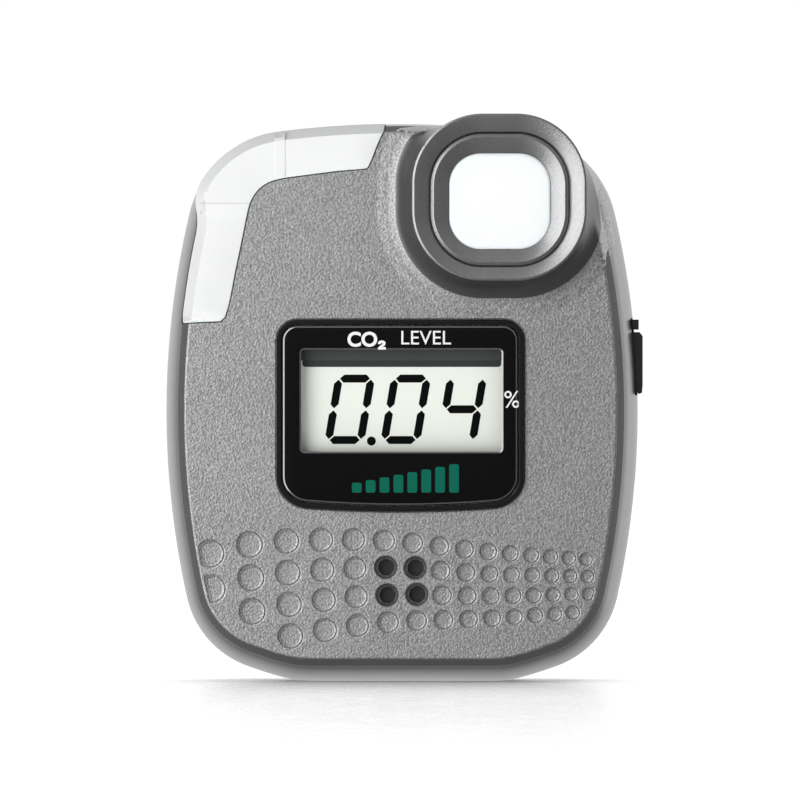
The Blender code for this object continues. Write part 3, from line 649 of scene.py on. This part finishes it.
def boss():
    """The raised ring round the button, with its flared foot and the well that the button sits in; the steep
    flank is painted darker as painted shade.
    """
    normals = ring_normals(BOSS_STEPS)

    def outline(offset, half=RING_HALF, corner=RING_CORNER, z=BUTTON_Z):
        base = rounded(BUTTON_X, z, (half[0] + offset, half[1] + offset), corner + offset, BOSS_STEPS)
        return spread(base, normals)[0]

    bm = bmesh.new()
    loops = flare_loops(bm, *spread(rounded(BUTTON_X, BUTTON_Z, RING_HALF, RING_CORNER, BOSS_STEPS), normals))
    flank_loops = len(loops)
    for offset, y in ((-0.02, RING_Y + 0.11), (-0.3, RING_Y + 0.005), (-0.36, RING_Y + 0.015)):
        loops.append(add_loop(bm, outline(offset), y))
    for offset, y in ((-2.2, -17.45), (-2.36, -17.35), (-2.4, -17.2)):
        loops.append(add_loop(bm, outline(offset, z=WELL_Z), y))
    well = (BUTTON_HALF[0] + WELL_GAP, BUTTON_HALF[1] + WELL_GAP)
    for y in (-17.1, WELL_FLOOR_Y):
        loops.append(add_loop(bm, outline(0.0, well, BUTTON_CORNER + WELL_GAP, WELL_Z), y))
    hole = (7.5, 7.1)
    for half, corner, y in ((hole, 4.9, WELL_FLOOR_Y), (hole, 4.9, -13.2), ((11.4, 10.9), 8.6, -13.2)):
        loops.append(add_loop(bm, outline(0.0, half, corner, WELL_Z), y))
    gentle = sum(1 for far, _ in FLARE if far > GENTLE_FROM)
    loft(bm, loops[:gentle + 1], cap_first=False, cap_last=False, material=2)
    # the steep part of the flare takes the darker paint: painted shade
    loft(bm, loops[gentle:flank_loops + 1], cap_first=False, cap_last=False, material=1)
    loft(bm, loops[flank_loops:] + [loops[0]], cap_first=False, cap_last=False)
    finish_piece("button_boss", bm, (RING_PAINT, FLANK_PAINTED_SHADE, SILVER), "case", crease=25)


# -------- light guide
GUIDE_INNER = ((-27.1, 54.75), (-26.3, 57.4), (-25.4, 62.0), (-24.4, 66.8), (-23.5, 71.2), (-22.9, 73.0),
               (-21.8, 74.6), (-20.1, 75.7), (-18.0, 76.25), (-14.7, 76.7), (-10.0, 77.3), (-6.0, 77.65))
GUIDE_END = ((-5.3, 77.95), (-4.7, 79.2), (-3.8, 81.5), (-2.9, 83.4))
GUIDE_BACK_Y = -11.0
PLATEAU_Y = FACE_Y - 0.06
BEVEL_WIDTH = 1.45
BEVEL_DROP = 1.25
RIB_LIFT = 0.15
RIB_EDGE = 0.12
UPPER_RIB_X = (-19.4, -17.9)
LOWER_RIB_Z = (71.1, 72.4)
LIP_WIDTH = 0.16
LIP_DROP = 0.14


def guide_outer(margin):
    """The guide's outer side: along the chamfer line on the left, out at the silhouette round the corner."""
    near = case_outline((CHAMFER_INSET[0] + margin, 0.12 + margin, 2.0), 60, 60, 60)
    far = case_outline(even(0.12 + margin), 60, 60, 60)
    points = []
    for (ax, az), (bx, bz) in zip(near, far):
        t = smooth_step((az - 68.0) / 9.0)
        points.append((ax + (bx - ax) * t, az + (bz - az) * t))
    return [p for p in points if p[0] < -2.75 and p[1] > 54.6]


def smooth_line(points, parts=6):
    """A smooth curve through points (Catmull-Rom)."""
    line = [Vector(p) for p in points]
    ends = [line[0] * 2 - line[1]] + line + [line[-1] * 2 - line[-2]]
    curve = []
    for a, b, c, d in zip(ends, ends[1:], ends[2:], ends[3:]):
        for k in range(parts):
            t = k / parts
            curve.append(0.5 * (2 * b + (c - a) * t + (2 * a - 5 * b + 4 * c - d) * t * t
                                + (3 * b - 3 * c + d - a) * t ** 3))
    return curve + [line[-1]]


GUIDE_LINE = smooth_line(GUIDE_INNER + GUIDE_END)


def guide_outline(shrink):
    """Closed outline, anticlockwise; shrink draws it in and a negative value pushes it out."""
    outer = guide_outer(shrink)
    line = GUIDE_LINE
    moved = []
    for index, point in enumerate(line):
        before = line[max(index - 1, 0)]
        after = line[min(index + 1, len(line) - 1)]
        along = (after - before).normalized()
        side = Vector((-along.y, along.x))
        moved.append(tuple(point + side * shrink))
    low_left = (outer[-1][0] + 0.12, 54.35 + shrink)
    inner_low = (moved[0][0] - 0.5, 54.6 + shrink)
    moved[0] = (moved[0][0], moved[0][1] + 0.35 + max(shrink, 0))
    return [low_left, inner_low] + moved + [(-2.8 - shrink, outer[0][1])] + outer


def outer_distance(point, outer_line):
    return min(math.hypot(point[0] - x, point[1] - z) for x, z in outer_line)


def guide_y(point, outer_line, outline):
    """Depth of the guide's front: a flat top, the bevel along its outer side, two ribs and a soft lip."""
    x, z = point
    to_outer = outer_distance(point, outer_line)
    y = PLATEAU_Y
    if to_outer < BEVEL_WIDTH:
        y += BEVEL_DROP * (1 - to_outer / BEVEL_WIDTH)
    upper = min(x - UPPER_RIB_X[0], UPPER_RIB_X[1] - x)
    lower = min(z - LOWER_RIB_Z[0], LOWER_RIB_Z[1] - z)
    for ridge, on_rib in ((upper, z > 70), (lower, x < -20)):
        if ridge <= -RIB_EDGE or not on_rib:
            continue
        if to_outer > 0.6:
            y -= RIB_LIFT * smooth_step((ridge + RIB_EDGE) / RIB_EDGE)
        if to_outer > 0.55 and ridge > -0.02:
            y = min(y, PLATEAU_Y - RIB_LIFT + max(0.0, 1.0 - to_outer) * 0.5)
    reach = nearest(point, outline)[0]
    if reach < LIP_WIDTH:
        y += LIP_DROP * (1 - reach / LIP_WIDTH) ** 2
    return y


def rib_lines():
    """Lines along both sides of the ribs, which give the mesh vertices there."""
    left, right = UPPER_RIB_X
    low, high = LOWER_RIB_Z
    steps = 12
    ends = [((x, 76.2), (x, 83.6)) for x in (left - RIB_EDGE, left)]
    ends += [((x, 76.5), (x, 83.8)) for x in (right, right + RIB_EDGE)]
    ends += [((-31.2, z), (-23.7, z)) for z in (low - RIB_EDGE, low)]
    ends += [((-31.0, z), (-23.4, z)) for z in (high, high + RIB_EDGE)]
    return [[Vector(first).lerp(Vector(last), i / steps) for i in range(steps + 1)] for first, last in ends]


def light_guide():
    """One frosted piece in three segments, parted by two raised ribs, with a bevel along its outer side that
    is painted greyer as painted shade.
    """
    outline = guide_outline(0.0)
    outer_line = guide_outer(0.0)
    places = []
    edges = []

    def add(points, closed):
        start = len(places)
        places.extend(Vector(p) for p in points)
        count = len(points)
        edges.extend((start + i, start + (i + 1) % count) for i in range(count if closed else count - 1))

    for loop in (outline, guide_outline(0.08), guide_outline(0.18)):
        add(loop, True)
    for margin in (0.5, 1.0, BEVEL_WIDTH, BEVEL_WIDTH + 0.15):
        add([p for p in guide_outer(margin) if inside(p, outline)], False)
    room = guide_outline(0.1)
    for line in rib_lines():
        add([p for p in line if inside(p, room)], False)
    out, _, faces, _, _, _ = delaunay_2d_cdt(places, edges, [], 0, 1e-4)
    bm = bmesh.new()
    top = [bm.verts.new(Vector((p.x, guide_y(p, outer_line, outline), p.y)) * MM) for p in out]
    for face in faces:
        middle = sum((out[i] for i in face), Vector((0, 0))) / len(face)
        if inside(middle, outline):
            made = bm.faces.new([top[i] for i in face])
            # faces on the outer bevel take the greyer copy: painted shade
            made.material_index = 1 if outer_distance(middle, outer_line) < BEVEL_WIDTH - 0.05 else 0
    rim = [e for e in bm.edges if len(e.link_faces) == 1]
    wall = bmesh.ops.extrude_edge_only(bm, edges=rim)
    for item in wall["geom"]:
        if isinstance(item, bmesh.types.BMVert):
            item.co.y = GUIDE_BACK_Y * MM
    bmesh.ops.delete(bm, geom=[v for v in bm.verts if not v.link_faces], context="VERTS")
    back = [e for e in bm.edges if len(e.link_faces) == 1]
    bmesh.ops.edgeloop_fill(bm, edges=back)
    finish_piece("light_guide_skin", bm, (FROSTED, FROSTED_PAINTED_SHADE), "case", ("light_guide",),
                 crease=22)


# -------- button
def grown(half, by):
    return (half[0] + by, half[1] + by)


def button_bezel():
    """The button's silver rim, dished down to the lens."""
    bm = bmesh.new()
    front = BUTTON_LOW.y

    def outline(inset, corner):
        return rounded(BUTTON_X, WELL_Z, grown(BUTTON_HALF, -inset), corner, 18)

    def lens_outline(gap):
        return rounded(BUTTON_X, LENS_Z, grown(LENS_HALF, gap), LENS_CORNER + gap, 18)

    loops = [add_loop(bm, outline(0.0, BUTTON_CORNER), y) for y in (BUTTON_HIGH.y, front + 0.34)]
    for inset, y in ((0.02, front + 0.24), (0.3, front + 0.075), (0.5, front), (0.56, front + 0.015)):
        loops.append(add_loop(bm, outline(inset, BUTTON_CORNER - inset), y))
    loops.append(add_loop(bm, lens_outline(0.3), front + 0.72))
    for y in (front + 0.85, BUTTON_HIGH.y):
        loops.append(add_loop(bm, lens_outline(0.06), y))
    loft(bm, loops, ring=True)
    finish_piece("button_bezel_skin", bm, (RING_PAINT,), "button", ("button_bezel",),
                 crease=25)


def button_lens():
    """The white lens with the stem behind it that presses the switch."""
    bm = bmesh.new()
    low, high = node_box("button_lens")
    stem, plate = (1.5, 1.5), (5.0, 5.0)
    loops = []
    for half, y in ((stem, high.y), (stem, -13.5), (plate, -13.5), (plate, -15.0), (LENS_HALF, -15.0),
                    (LENS_HALF, low.y + 0.15), (grown(LENS_HALF, -0.15), low.y + 0.03),
                    (grown(LENS_HALF, -0.5), low.y), ((4.0, 3.8), low.y - 0.02)):
        corner = min(LENS_CORNER, half[0] * 0.7)
        loops.append(add_loop(bm, rounded(BUTTON_X, LENS_Z, half, corner, 14), y))
    loft(bm, loops)
    finish_piece("button_lens_skin", bm, (LENS_WHITE,), "button", ("button_lens",),
                 crease=35)


# -------- display
PANEL_TOP_CORNER = 3.2
PANEL_LOW_CORNER = 4.6
PANEL_BOW = 0.9


def panel_outline(inset, steps=12, side_steps=24):
    """Rounded panel whose lower edge bows down; inset draws it in."""
    left, right = PANEL_LOW.x + inset, PANEL_HIGH.x - inset
    low, high = PANEL_LOW.z + inset, PANEL_HIGH.z - inset
    top = max(PANEL_TOP_CORNER - inset, 0.3)
    base = max(PANEL_LOW_CORNER - inset, 0.3)
    middle = (left + right) / 2
    reach = (right - left) / 2
    points = []
    for cx, cz, radius, start in ((right - base, low + base, base, -90), (right - top, high - top, top, 0),
                                  (left + top, high - top, top, 90), (left + base, low + base, base, 180)):
        for i in range(steps + 1):
            angle = math.radians(start + 90 * i / steps)
            points.append([cx + radius * math.cos(angle), cz + radius * math.sin(angle)])
    first, last = left + base, right - base
    points.extend([first + (last - first) * i / side_steps, low] for i in range(1, side_steps))
    centre_z = (PANEL_LOW.z + PANEL_HIGH.z) / 2
    for point in points:
        if point[1] < centre_z:
            share = (centre_z - point[1]) / (centre_z - low)
            point[1] += PANEL_BOW * share * ((point[0] - middle) / reach) ** 2
    return [tuple(p) for p in points]


def window_loops(bm, steps, corner=0.5):
    """Loops round the clear window, one for each pair of growth and depth."""
    (left, right), (low, high) = WINDOW
    centre = ((left + right) / 2, (low + high) / 2)
    half = ((right - left) / 2, (high - low) / 2)
    return [add_loop(bm, rounded(*centre, grown(half, by), corner + by, 6), y) for by, y in steps]


def display_bezel():
    """The black frame, with a soft lip on both sides."""
    bm = bmesh.new()
    front = PANEL_LOW.y
    loops = [add_loop(bm, panel_outline(i), y) for i, y in
             ((0.0, PANEL_HIGH.y), (0.0, front + 0.35), (0.07, front + 0.12), (0.22, front), (0.62, front),
              (0.76, front + 0.08), (0.84, front + 0.25), (0.84, PANEL_HIGH.y))]
    loft(bm, loops, ring=True)
    finish_piece("display_bezel_skin", bm, (BLACK,), "case", ("display_bezel",), crease=28)


def display_panel():
    """The glossy panel, whose edges outside and round the window are polished."""
    bm = bmesh.new()
    face = PANEL_FACE_Y
    back = node_box("display_lens")[1].y
    outer = [add_loop(bm, panel_outline(i), y) for i, y in
             ((0.96, back), (0.96, face + 0.35), (1.0, face + 0.13), (1.07, face + 0.075),
              (1.27, face + 0.01), (1.33, face))]
    loft(bm, outer[:4], cap_first=False, cap_last=False)
    loft(bm, outer[3:5], cap_first=False, cap_last=False, material=1)
    loft(bm, outer[4:], cap_first=False, cap_last=False)
    inner = window_loops(bm, ((0.3, face), (0.24, face), (0.0, face + 0.08), (0.0, back)))
    loft(bm, inner[:2], cap_first=False, cap_last=False)
    loft(bm, inner[1:3], cap_first=False, cap_last=False, material=1)
    loft(bm, inner[2:], cap_first=False, cap_last=False)
    for first, second in ((outer[-1], inner[0]), (outer[0], inner[-1])):
        edges = []
        for loop in (first, second):
            for a, b in zip(loop, loop[1:] + loop[:1]):
                edges.append(bm.edges.get((a, b)) or bm.edges.new((a, b)))
        bmesh.ops.triangle_fill(bm, edges=edges, use_beauty=True)
    finish_piece("display_panel", bm, (GLOSS, POLISHED_EDGE), "case", ("display_lens",),
                 crease=14)


SEGMENT_SHAPES = {"0": "abcdef", "4": "bcfg"}
DIGITS = (("0", -12.03), ("0", -3.56), ("4", 4.91))
DIGIT_BASE_Z = 36.04
DECIMAL_POINT_X = -4.85
DIGIT_HEIGHT = 10.5
DIGIT_WIDTH = 6.07
SEGMENT_WIDTH = 1.2
SEGMENT_GAP = 0.16
SLANT = math.tan(math.radians(9.5))


def segment_polygons(kind, left, low):
    """Six-cornered bars of one seven-segment digit, slanted to the right."""
    w, h, s = DIGIT_WIDTH, DIGIT_HEIGHT, SEGMENT_WIDTH
    half = s / 2
    gap = SEGMENT_GAP
    middle = h / 2
    bars = {"a": ((0, h - half), (w, h - half)), "g": ((0, middle), (w, middle)), "d": ((0, half), (w, half)),
            "f": ((half, middle), (half, h)), "b": ((w - half, middle), (w - half, h)),
            "e": ((half, 0), (half, middle)), "c": ((w - half, 0), (w - half, middle))}
    polygons = []
    for key in SEGMENT_SHAPES[kind]:
        (ax, az), (bx, bz) = bars[key]
        if az == bz:
            first, last = ax + half + gap, bx - half - gap
            shape = [(first, az), (first + half, az - half), (last - half, az - half), (last, az),
                     (last - half, az + half), (first + half, az + half)]
        else:
            top_pad = half if key in "fb" else 0
            low_pad = half if key in "ec" else 0
            first, last = az + low_pad + gap, bz - top_pad - gap
            shape = [(ax, first), (ax + half, first + half), (ax + half, last - half), (ax, last),
                     (ax - half, last - half), (ax - half, first + half)]
        polygons.append([(left + x + z * SLANT, low + z) for x, z in shape])
    return polygons


def add_print(name, shapes, y_back, thickness, material):
    """Thin raised shapes on the case, such as printed marks, as one piece."""
    bm = bmesh.new()
    for points in shapes:
        plan_prism(bm, points, y_back - thickness, y_back)
    finish_piece(name, bm, (material,), "case", crease=20)


def lcd():
    """The pale display glass with the digits, and two dark strips at its top that are painted shade and a
    painted shadow from the window's edge.
    """
    low, high = node_box("lcd_glass")
    face = low.y
    (left, right), (_, top) = WINDOW
    bm = bmesh.new()
    plan_prism(bm, [(low.x, low.z), (high.x, low.z), (high.x, high.z), (low.x, high.z)], face, high.y)
    finish_piece("lcd_panel", bm, (LCD_PALE,), "case", ("lcd_glass",))
    # the two strips below are painted shade and painted shadow, not marks on the glass
    strip_low = top - 2.6
    strip_mid = top - 1.6
    strip = [(low.x + 0.1, strip_mid), (high.x - 0.1, strip_mid), (high.x - 0.1, high.z - 0.1),
             (low.x + 0.1, high.z - 0.1)]
    add_print("lcd_top_painted_shade", [strip], face, 0.03, LCD_PAINTED_SHADE)
    half = ((right - left) / 2 - 0.1, (strip_mid - strip_low) / 2 + 0.3)
    band = rounded((left + right) / 2, (strip_low + strip_mid) / 2 + 0.3, half, 0.5, 5)
    add_print("lcd_low_painted_shadow", [band], face, 0.02, LCD_PAINTED_SHADOW)
    shapes = [shape for kind, place in DIGITS for shape in segment_polygons(kind, place, DIGIT_BASE_Z)]
    shapes.append(circle(DECIMAL_POINT_X, DIGIT_BASE_Z + 0.45, 0.68, 20))
    add_print("lcd_digits", shapes, face, 0.025, INK_BLACK)


def lettering(name, words, size, x, z, y, weight=0.0):
    """Lettering as a thin solid piece: only generic words and signs are used."""
    curve = bpy.data.curves.new(name, "FONT")
    curve.body = words
    curve.size = size * MM
    curve.extrude = 0.01 * MM
    curve.offset = weight * MM
    curve.align_x = "CENTER"
    curve.align_y = "CENTER"
    item = bpy.data.objects.new(name, curve)
    item.location = (x * MM, y * MM, z * MM)
    item.rotation_euler = (math.radians(90), 0, 0)
    bpy.context.scene.collection.objects.link(item)
    bpy.context.view_layer.update()
    graph = bpy.context.evaluated_depsgraph_get()
    mesh = bpy.data.meshes.new_from_object(item.evaluated_get(graph), depsgraph=graph)
    mesh.transform(item.matrix_world)
    bpy.data.objects.remove(item)
    mesh.materials.clear()
    mesh.materials.append(INK_WHITE)
    piece = bpy.data.objects.new(name, mesh)
    bpy.context.scene.collection.objects.link(piece)
    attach(piece, "case")


BAR_COUNT = 8
FIRST_BAR_X = -7.0
BAR_PITCH = 2.1
BAR_HALF_WIDTH = 0.74
BAR_BASE_Z = 28.7


def prints():
    """Generic marks on the display panel: the gas, the unit, and a plain row of level bars."""
    y = PANEL_FACE_Y - 0.012
    lettering("print_gas", "CO₂", 3.0, -5.5, 51.75, y, 0.09)
    lettering("print_word", "LEVEL", 3.0, 3.4, 52.0, y)
    lettering("print_percent", "%", 3.65, 16.45, 42.65, y)
    bars = []
    for i in range(BAR_COUNT):
        half = 0.75 + 0.2 * i
        bars.append(rounded(FIRST_BAR_X + BAR_PITCH * i, BAR_BASE_Z + half, (BAR_HALF_WIDTH, half), 0.3, 4))
    add_print("print_level_bars", bars, PANEL_FACE_Y, 0.02, INK_GREEN)


# -------- rear case and clip
REAR_CURVE_Y = 2.0
REAR_CURVE_INSET = 4.4
LABEL_Z = 11.5
SLOT_COUNT = 5
FIRST_SLOT_Z = 70.0
SLOT_PITCH = 1.9


def rear_case():
    """The back shell, with four screw wells, a shallow recess for the label and the sounder's slots."""
    bm = bmesh.new()
    loops = [add_loop(bm, case_outline(even(0.12)), REAR_RIM_Y), add_loop(bm, SILHOUETTE, REAR_RIM_Y + 0.15),
             add_loop(bm, SILHOUETTE, REAR_CURVE_Y)]
    steps = 14
    for i in range(1, steps + 1):
        angle = math.radians(90) * i / steps
        inset = REAR_CURVE_INSET * (1 - math.cos(angle))
        y = REAR_CURVE_Y + (REAR_FACE_Y - REAR_CURVE_Y) * math.sin(angle) ** 0.9
        loops.append(add_loop(bm, case_outline(even(inset)), y))
    loops.append(add_loop(bm, case_outline(even(4.9)), REAR_FACE_Y))
    loft(bm, loops, cap_first=False, cap_last=True)
    inner = [loops[0]]
    for inset, y in ((2.6, REAR_RIM_Y), (2.6, 5.0), (4.4, REAR_WALL_Y)):
        inner.append(add_loop(bm, case_outline(even(inset)), y))
    loft(bm, inner, cap_first=False, cap_last=True)
    piece = finish_piece("rear_case_skin", bm, (SILVER_SMOOTH,), "case", ("rear_case",),
                         crease=28)
    cutters = bmesh.new()
    well = ((2.2, 1.5), (2.2, REAR_FACE_Y - 0.35), (2.6, REAR_FACE_Y + 0.05), (2.6, 12.5))
    for x, z in CASE_SCREWS:
        loft(cutters, [add_loop(cutters, circle(x, z, radius, 32), y) for radius, y in well])
    plan_prism(cutters, rounded(BODY_X, LABEL_Z, (15.0, 5.0), 1.4), REAR_FACE_Y - 0.15, 12.0)
    for index in range(SLOT_COUNT):
        slot = rounded(BODY_X, FIRST_SLOT_Z + SLOT_PITCH * index, (9.0, 0.4), 0.39, 5)
        plan_prism(cutters, slot, REAR_FACE_Y - 0.5, 12.0)
    cut(piece, cutters)


def soften(node, width):
    """Round the edges of a CAD node with a bevel."""
    bevel = frame["nodes"][node].modifiers.new("soft_edges", "BEVEL")
    bevel.width = width * MM
    bevel.segments = 3
    bevel.limit_method = "ANGLE"
    bevel.angle_limit = math.radians(40)


def dress_all_nodes():
    """Give each CAD node the look of its material slot."""
    slots = {part["node"]: part["material_slot"] for part in frame["record"]["subparts"]}
    for node, item in frame["nodes"].items():
        item.data.materials.clear()
        item.data.materials.append(SLOT_LOOKS[slots[node]])


RIDGE_COUNT = 6
RIDGE_PITCH = 1.6


def clip_details():
    """Soft edges on the clip and the USB cover, and grip ridges near the top of the clip lever."""
    soften("clip_lever", 0.55)
    soften("clip_bracket", 0.3)
    soften("usb_cover", 0.28)
    soften("usb_cover_anchor", 0.28)
    low, high = node_box("clip_lever")
    bm = bmesh.new()
    for index in range(RIDGE_COUNT):
        middle = high.z - 3.0 - RIDGE_PITCH * index
        profile = [(high.y - sunk, middle + rise) for sunk, rise in
                   ((0.25, -0.5), (0.04, -0.28), (0.0, 0.0), (0.04, 0.28), (0.25, 0.5))]
        loft(bm, [add_loop(bm, [(x, y, z) for y, z in profile]) for x in (low.x + 3.0, high.x - 3.0)])
    finish_piece("clip_grip_ridges", bm, (BLACK_SATIN,), "clip")


# -------- stage
LIGHT_TARGET = Vector((0.0, 0.0, 0.045))
FLOOR_RADIUS = 4.0
WALL_RADIUS = 3.9
WALL_HEIGHT = 3.5


def softbox(name, azimuth, elevation, distance, size, radiance):
    """A soft area light aimed at the part; azimuth 0 is straight in front and positive is to the right."""
    turn, rise = math.radians(azimuth), math.radians(elevation)
    toward = Vector((math.sin(turn) * math.cos(rise), -math.cos(turn) * math.cos(rise), math.sin(rise)))
    place = LIGHT_TARGET + distance * toward
    light = bpy.data.lights.new(name, "AREA")
    light.shape = "RECTANGLE"
    light.size, light.size_y = size
    light.energy = radiance * math.pi * size[0] * size[1]
    item = bpy.data.objects.new(name, light)
    item.location = place
    item.rotation_euler = (LIGHT_TARGET - place).to_track_quat("-Z", "Y").to_euler()
    bpy.context.scene.collection.objects.link(item)


def floor_and_cove():
    """A pale floor with a plain white wall far off all round."""
    bm = bmesh.new()
    bmesh.ops.create_circle(bm, cap_ends=True, radius=FLOOR_RADIUS, segments=96)
    pale = surface("studio_floor", (0.93, 0.93, 0.93), 0.27, grain=40.0, relief=0.0, tone=0.004, patch=0.002)
    floor = finish_piece("studio_floor", bm, (pale,), None)
    floor.visible_glossy = False
    floor.visible_shadow = False
    bm = bmesh.new()
    rows = [[bm.verts.new((x, y, z)) for x, y in circle(0.0, 0.0, WALL_RADIUS, 96)]
            for z in (-0.001, WALL_HEIGHT)]
    loft(bm, rows, cap_first=False, cap_last=True)
    white = bpy.data.materials.new("studio_wall")
    white.use_nodes = True
    shader = white.node_tree.nodes["Principled BSDF"]
    shader.inputs["Base Color"].default_value = (0, 0, 0, 1)
    shader.inputs["Specular IOR Level"].default_value = 0.0
    shader.inputs["Emission Color"].default_value = (1, 1, 1, 1)
    shader.inputs["Emission Strength"].default_value = 1.02
    wall = finish_piece("studio_wall", bm, (white,), None)
    for flag in ("visible_diffuse", "visible_glossy", "visible_transmission", "visible_volume_scatter",
                 "visible_shadow"):
        setattr(wall, flag, False)
    return floor


def range_node(tree, source, low, high, start, end):
    """A smooth change from start to end while the source runs from low to high."""
    node = tree.nodes.new("ShaderNodeMapRange")
    node.interpolation_type = "SMOOTHSTEP"
    for key, value in (("From Min", low), ("From Max", high), ("To Min", start), ("To Max", end)):
        node.inputs[key].default_value = value
    tree.links.new(source, node.inputs["Value"])
    return node.outputs["Result"]


def surroundings():
    """The studio's fill light: dim in front and below, brighter above, to the left and behind the part."""
    world = bpy.data.worlds.new("studio")
    world.use_nodes = True
    tree = world.node_tree
    place = tree.nodes.new("ShaderNodeTexCoord")
    split = tree.nodes.new("ShaderNodeSeparateXYZ")
    tree.links.new(place.outputs["Generated"], split.inputs[0])
    above = range_node(tree, split.outputs["Z"], -0.3, 0.8, 0.115, 0.35)
    behind = range_node(tree, split.outputs["Y"], -0.1, 0.95, 0.0, 0.85)
    left = range_node(tree, split.outputs["X"], 0.4, -0.8, 0.0, 0.18)
    total = above
    for other in (behind, left):
        add = tree.nodes.new("ShaderNodeMath")
        tree.links.new(total, add.inputs[0])
        tree.links.new(other, add.inputs[1])
        total = add.outputs[0]
    tree.links.new(total, tree.nodes["Background"].inputs["Strength"])
    tree.nodes["Background"].inputs["Color"].default_value = (1, 1, 1, 1)
    bpy.context.scene.world = world


def stage_and_lights():
    """The studio, a key light on the left, a fill on the right and a light for the floor alone."""
    floor = floor_and_cove()
    surroundings()
    softbox("key_left", -33, 6, 0.5, (0.33, 0.5), 2.75)
    softbox("fill_right", 112, 6, 1.2, (0.9, 1.3), 0.5)
    over = bpy.data.lights.new("floor_fill", "SUN")
    over.energy = 2.2
    over.angle = math.radians(70)
    item = bpy.data.objects.new("floor_fill", over)
    item.rotation_euler = (math.radians(-12), math.radians(6), 0)
    bpy.context.scene.collection.objects.link(item)
    only_floor = bpy.data.collections.new("floor_only")
    only_floor.objects.link(floor)
    item.light_linking.receiver_collection = only_floor


SENSOR_WIDTH = 36.0
FRAME_WIDTH = 121.6
VIEW_DISTANCE = 1600.0
VIEW_CENTRE = (-0.68, 42.7)
VIEW_AZIMUTH = 1.3


def camera():
    """A long lens almost straight in front; FRAME_WIDTH is what it sees at the part."""
    lens_camera = bpy.data.cameras.new("view")
    lens_camera.sensor_width = SENSOR_WIDTH
    lens_camera.lens = SENSOR_WIDTH * VIEW_DISTANCE / FRAME_WIDTH
    lens_camera.clip_start = 0.01
    lens_camera.clip_end = 20.0
    item = bpy.data.objects.new("view", lens_camera)
    turn = math.radians(VIEW_AZIMUTH)
    item.location = ((VIEW_CENTRE[0] + VIEW_DISTANCE * math.sin(turn)) * MM,
                     (SKIRT_END_Y - VIEW_DISTANCE * math.cos(turn)) * MM, VIEW_CENTRE[1] * MM)
    item.rotation_euler = (math.radians(90), 0, turn)
    bpy.context.scene.collection.objects.link(item)
    bpy.context.scene.camera = item


bpy.context.scene.view_settings.view_transform = "Standard"
dress_all_nodes()
front_case()
boss()
light_guide()
button_bezel()
button_lens()
display_bezel()
display_panel()
lcd()
prints()
rear_case()
clip_details()
stage_and_lights()
camera()
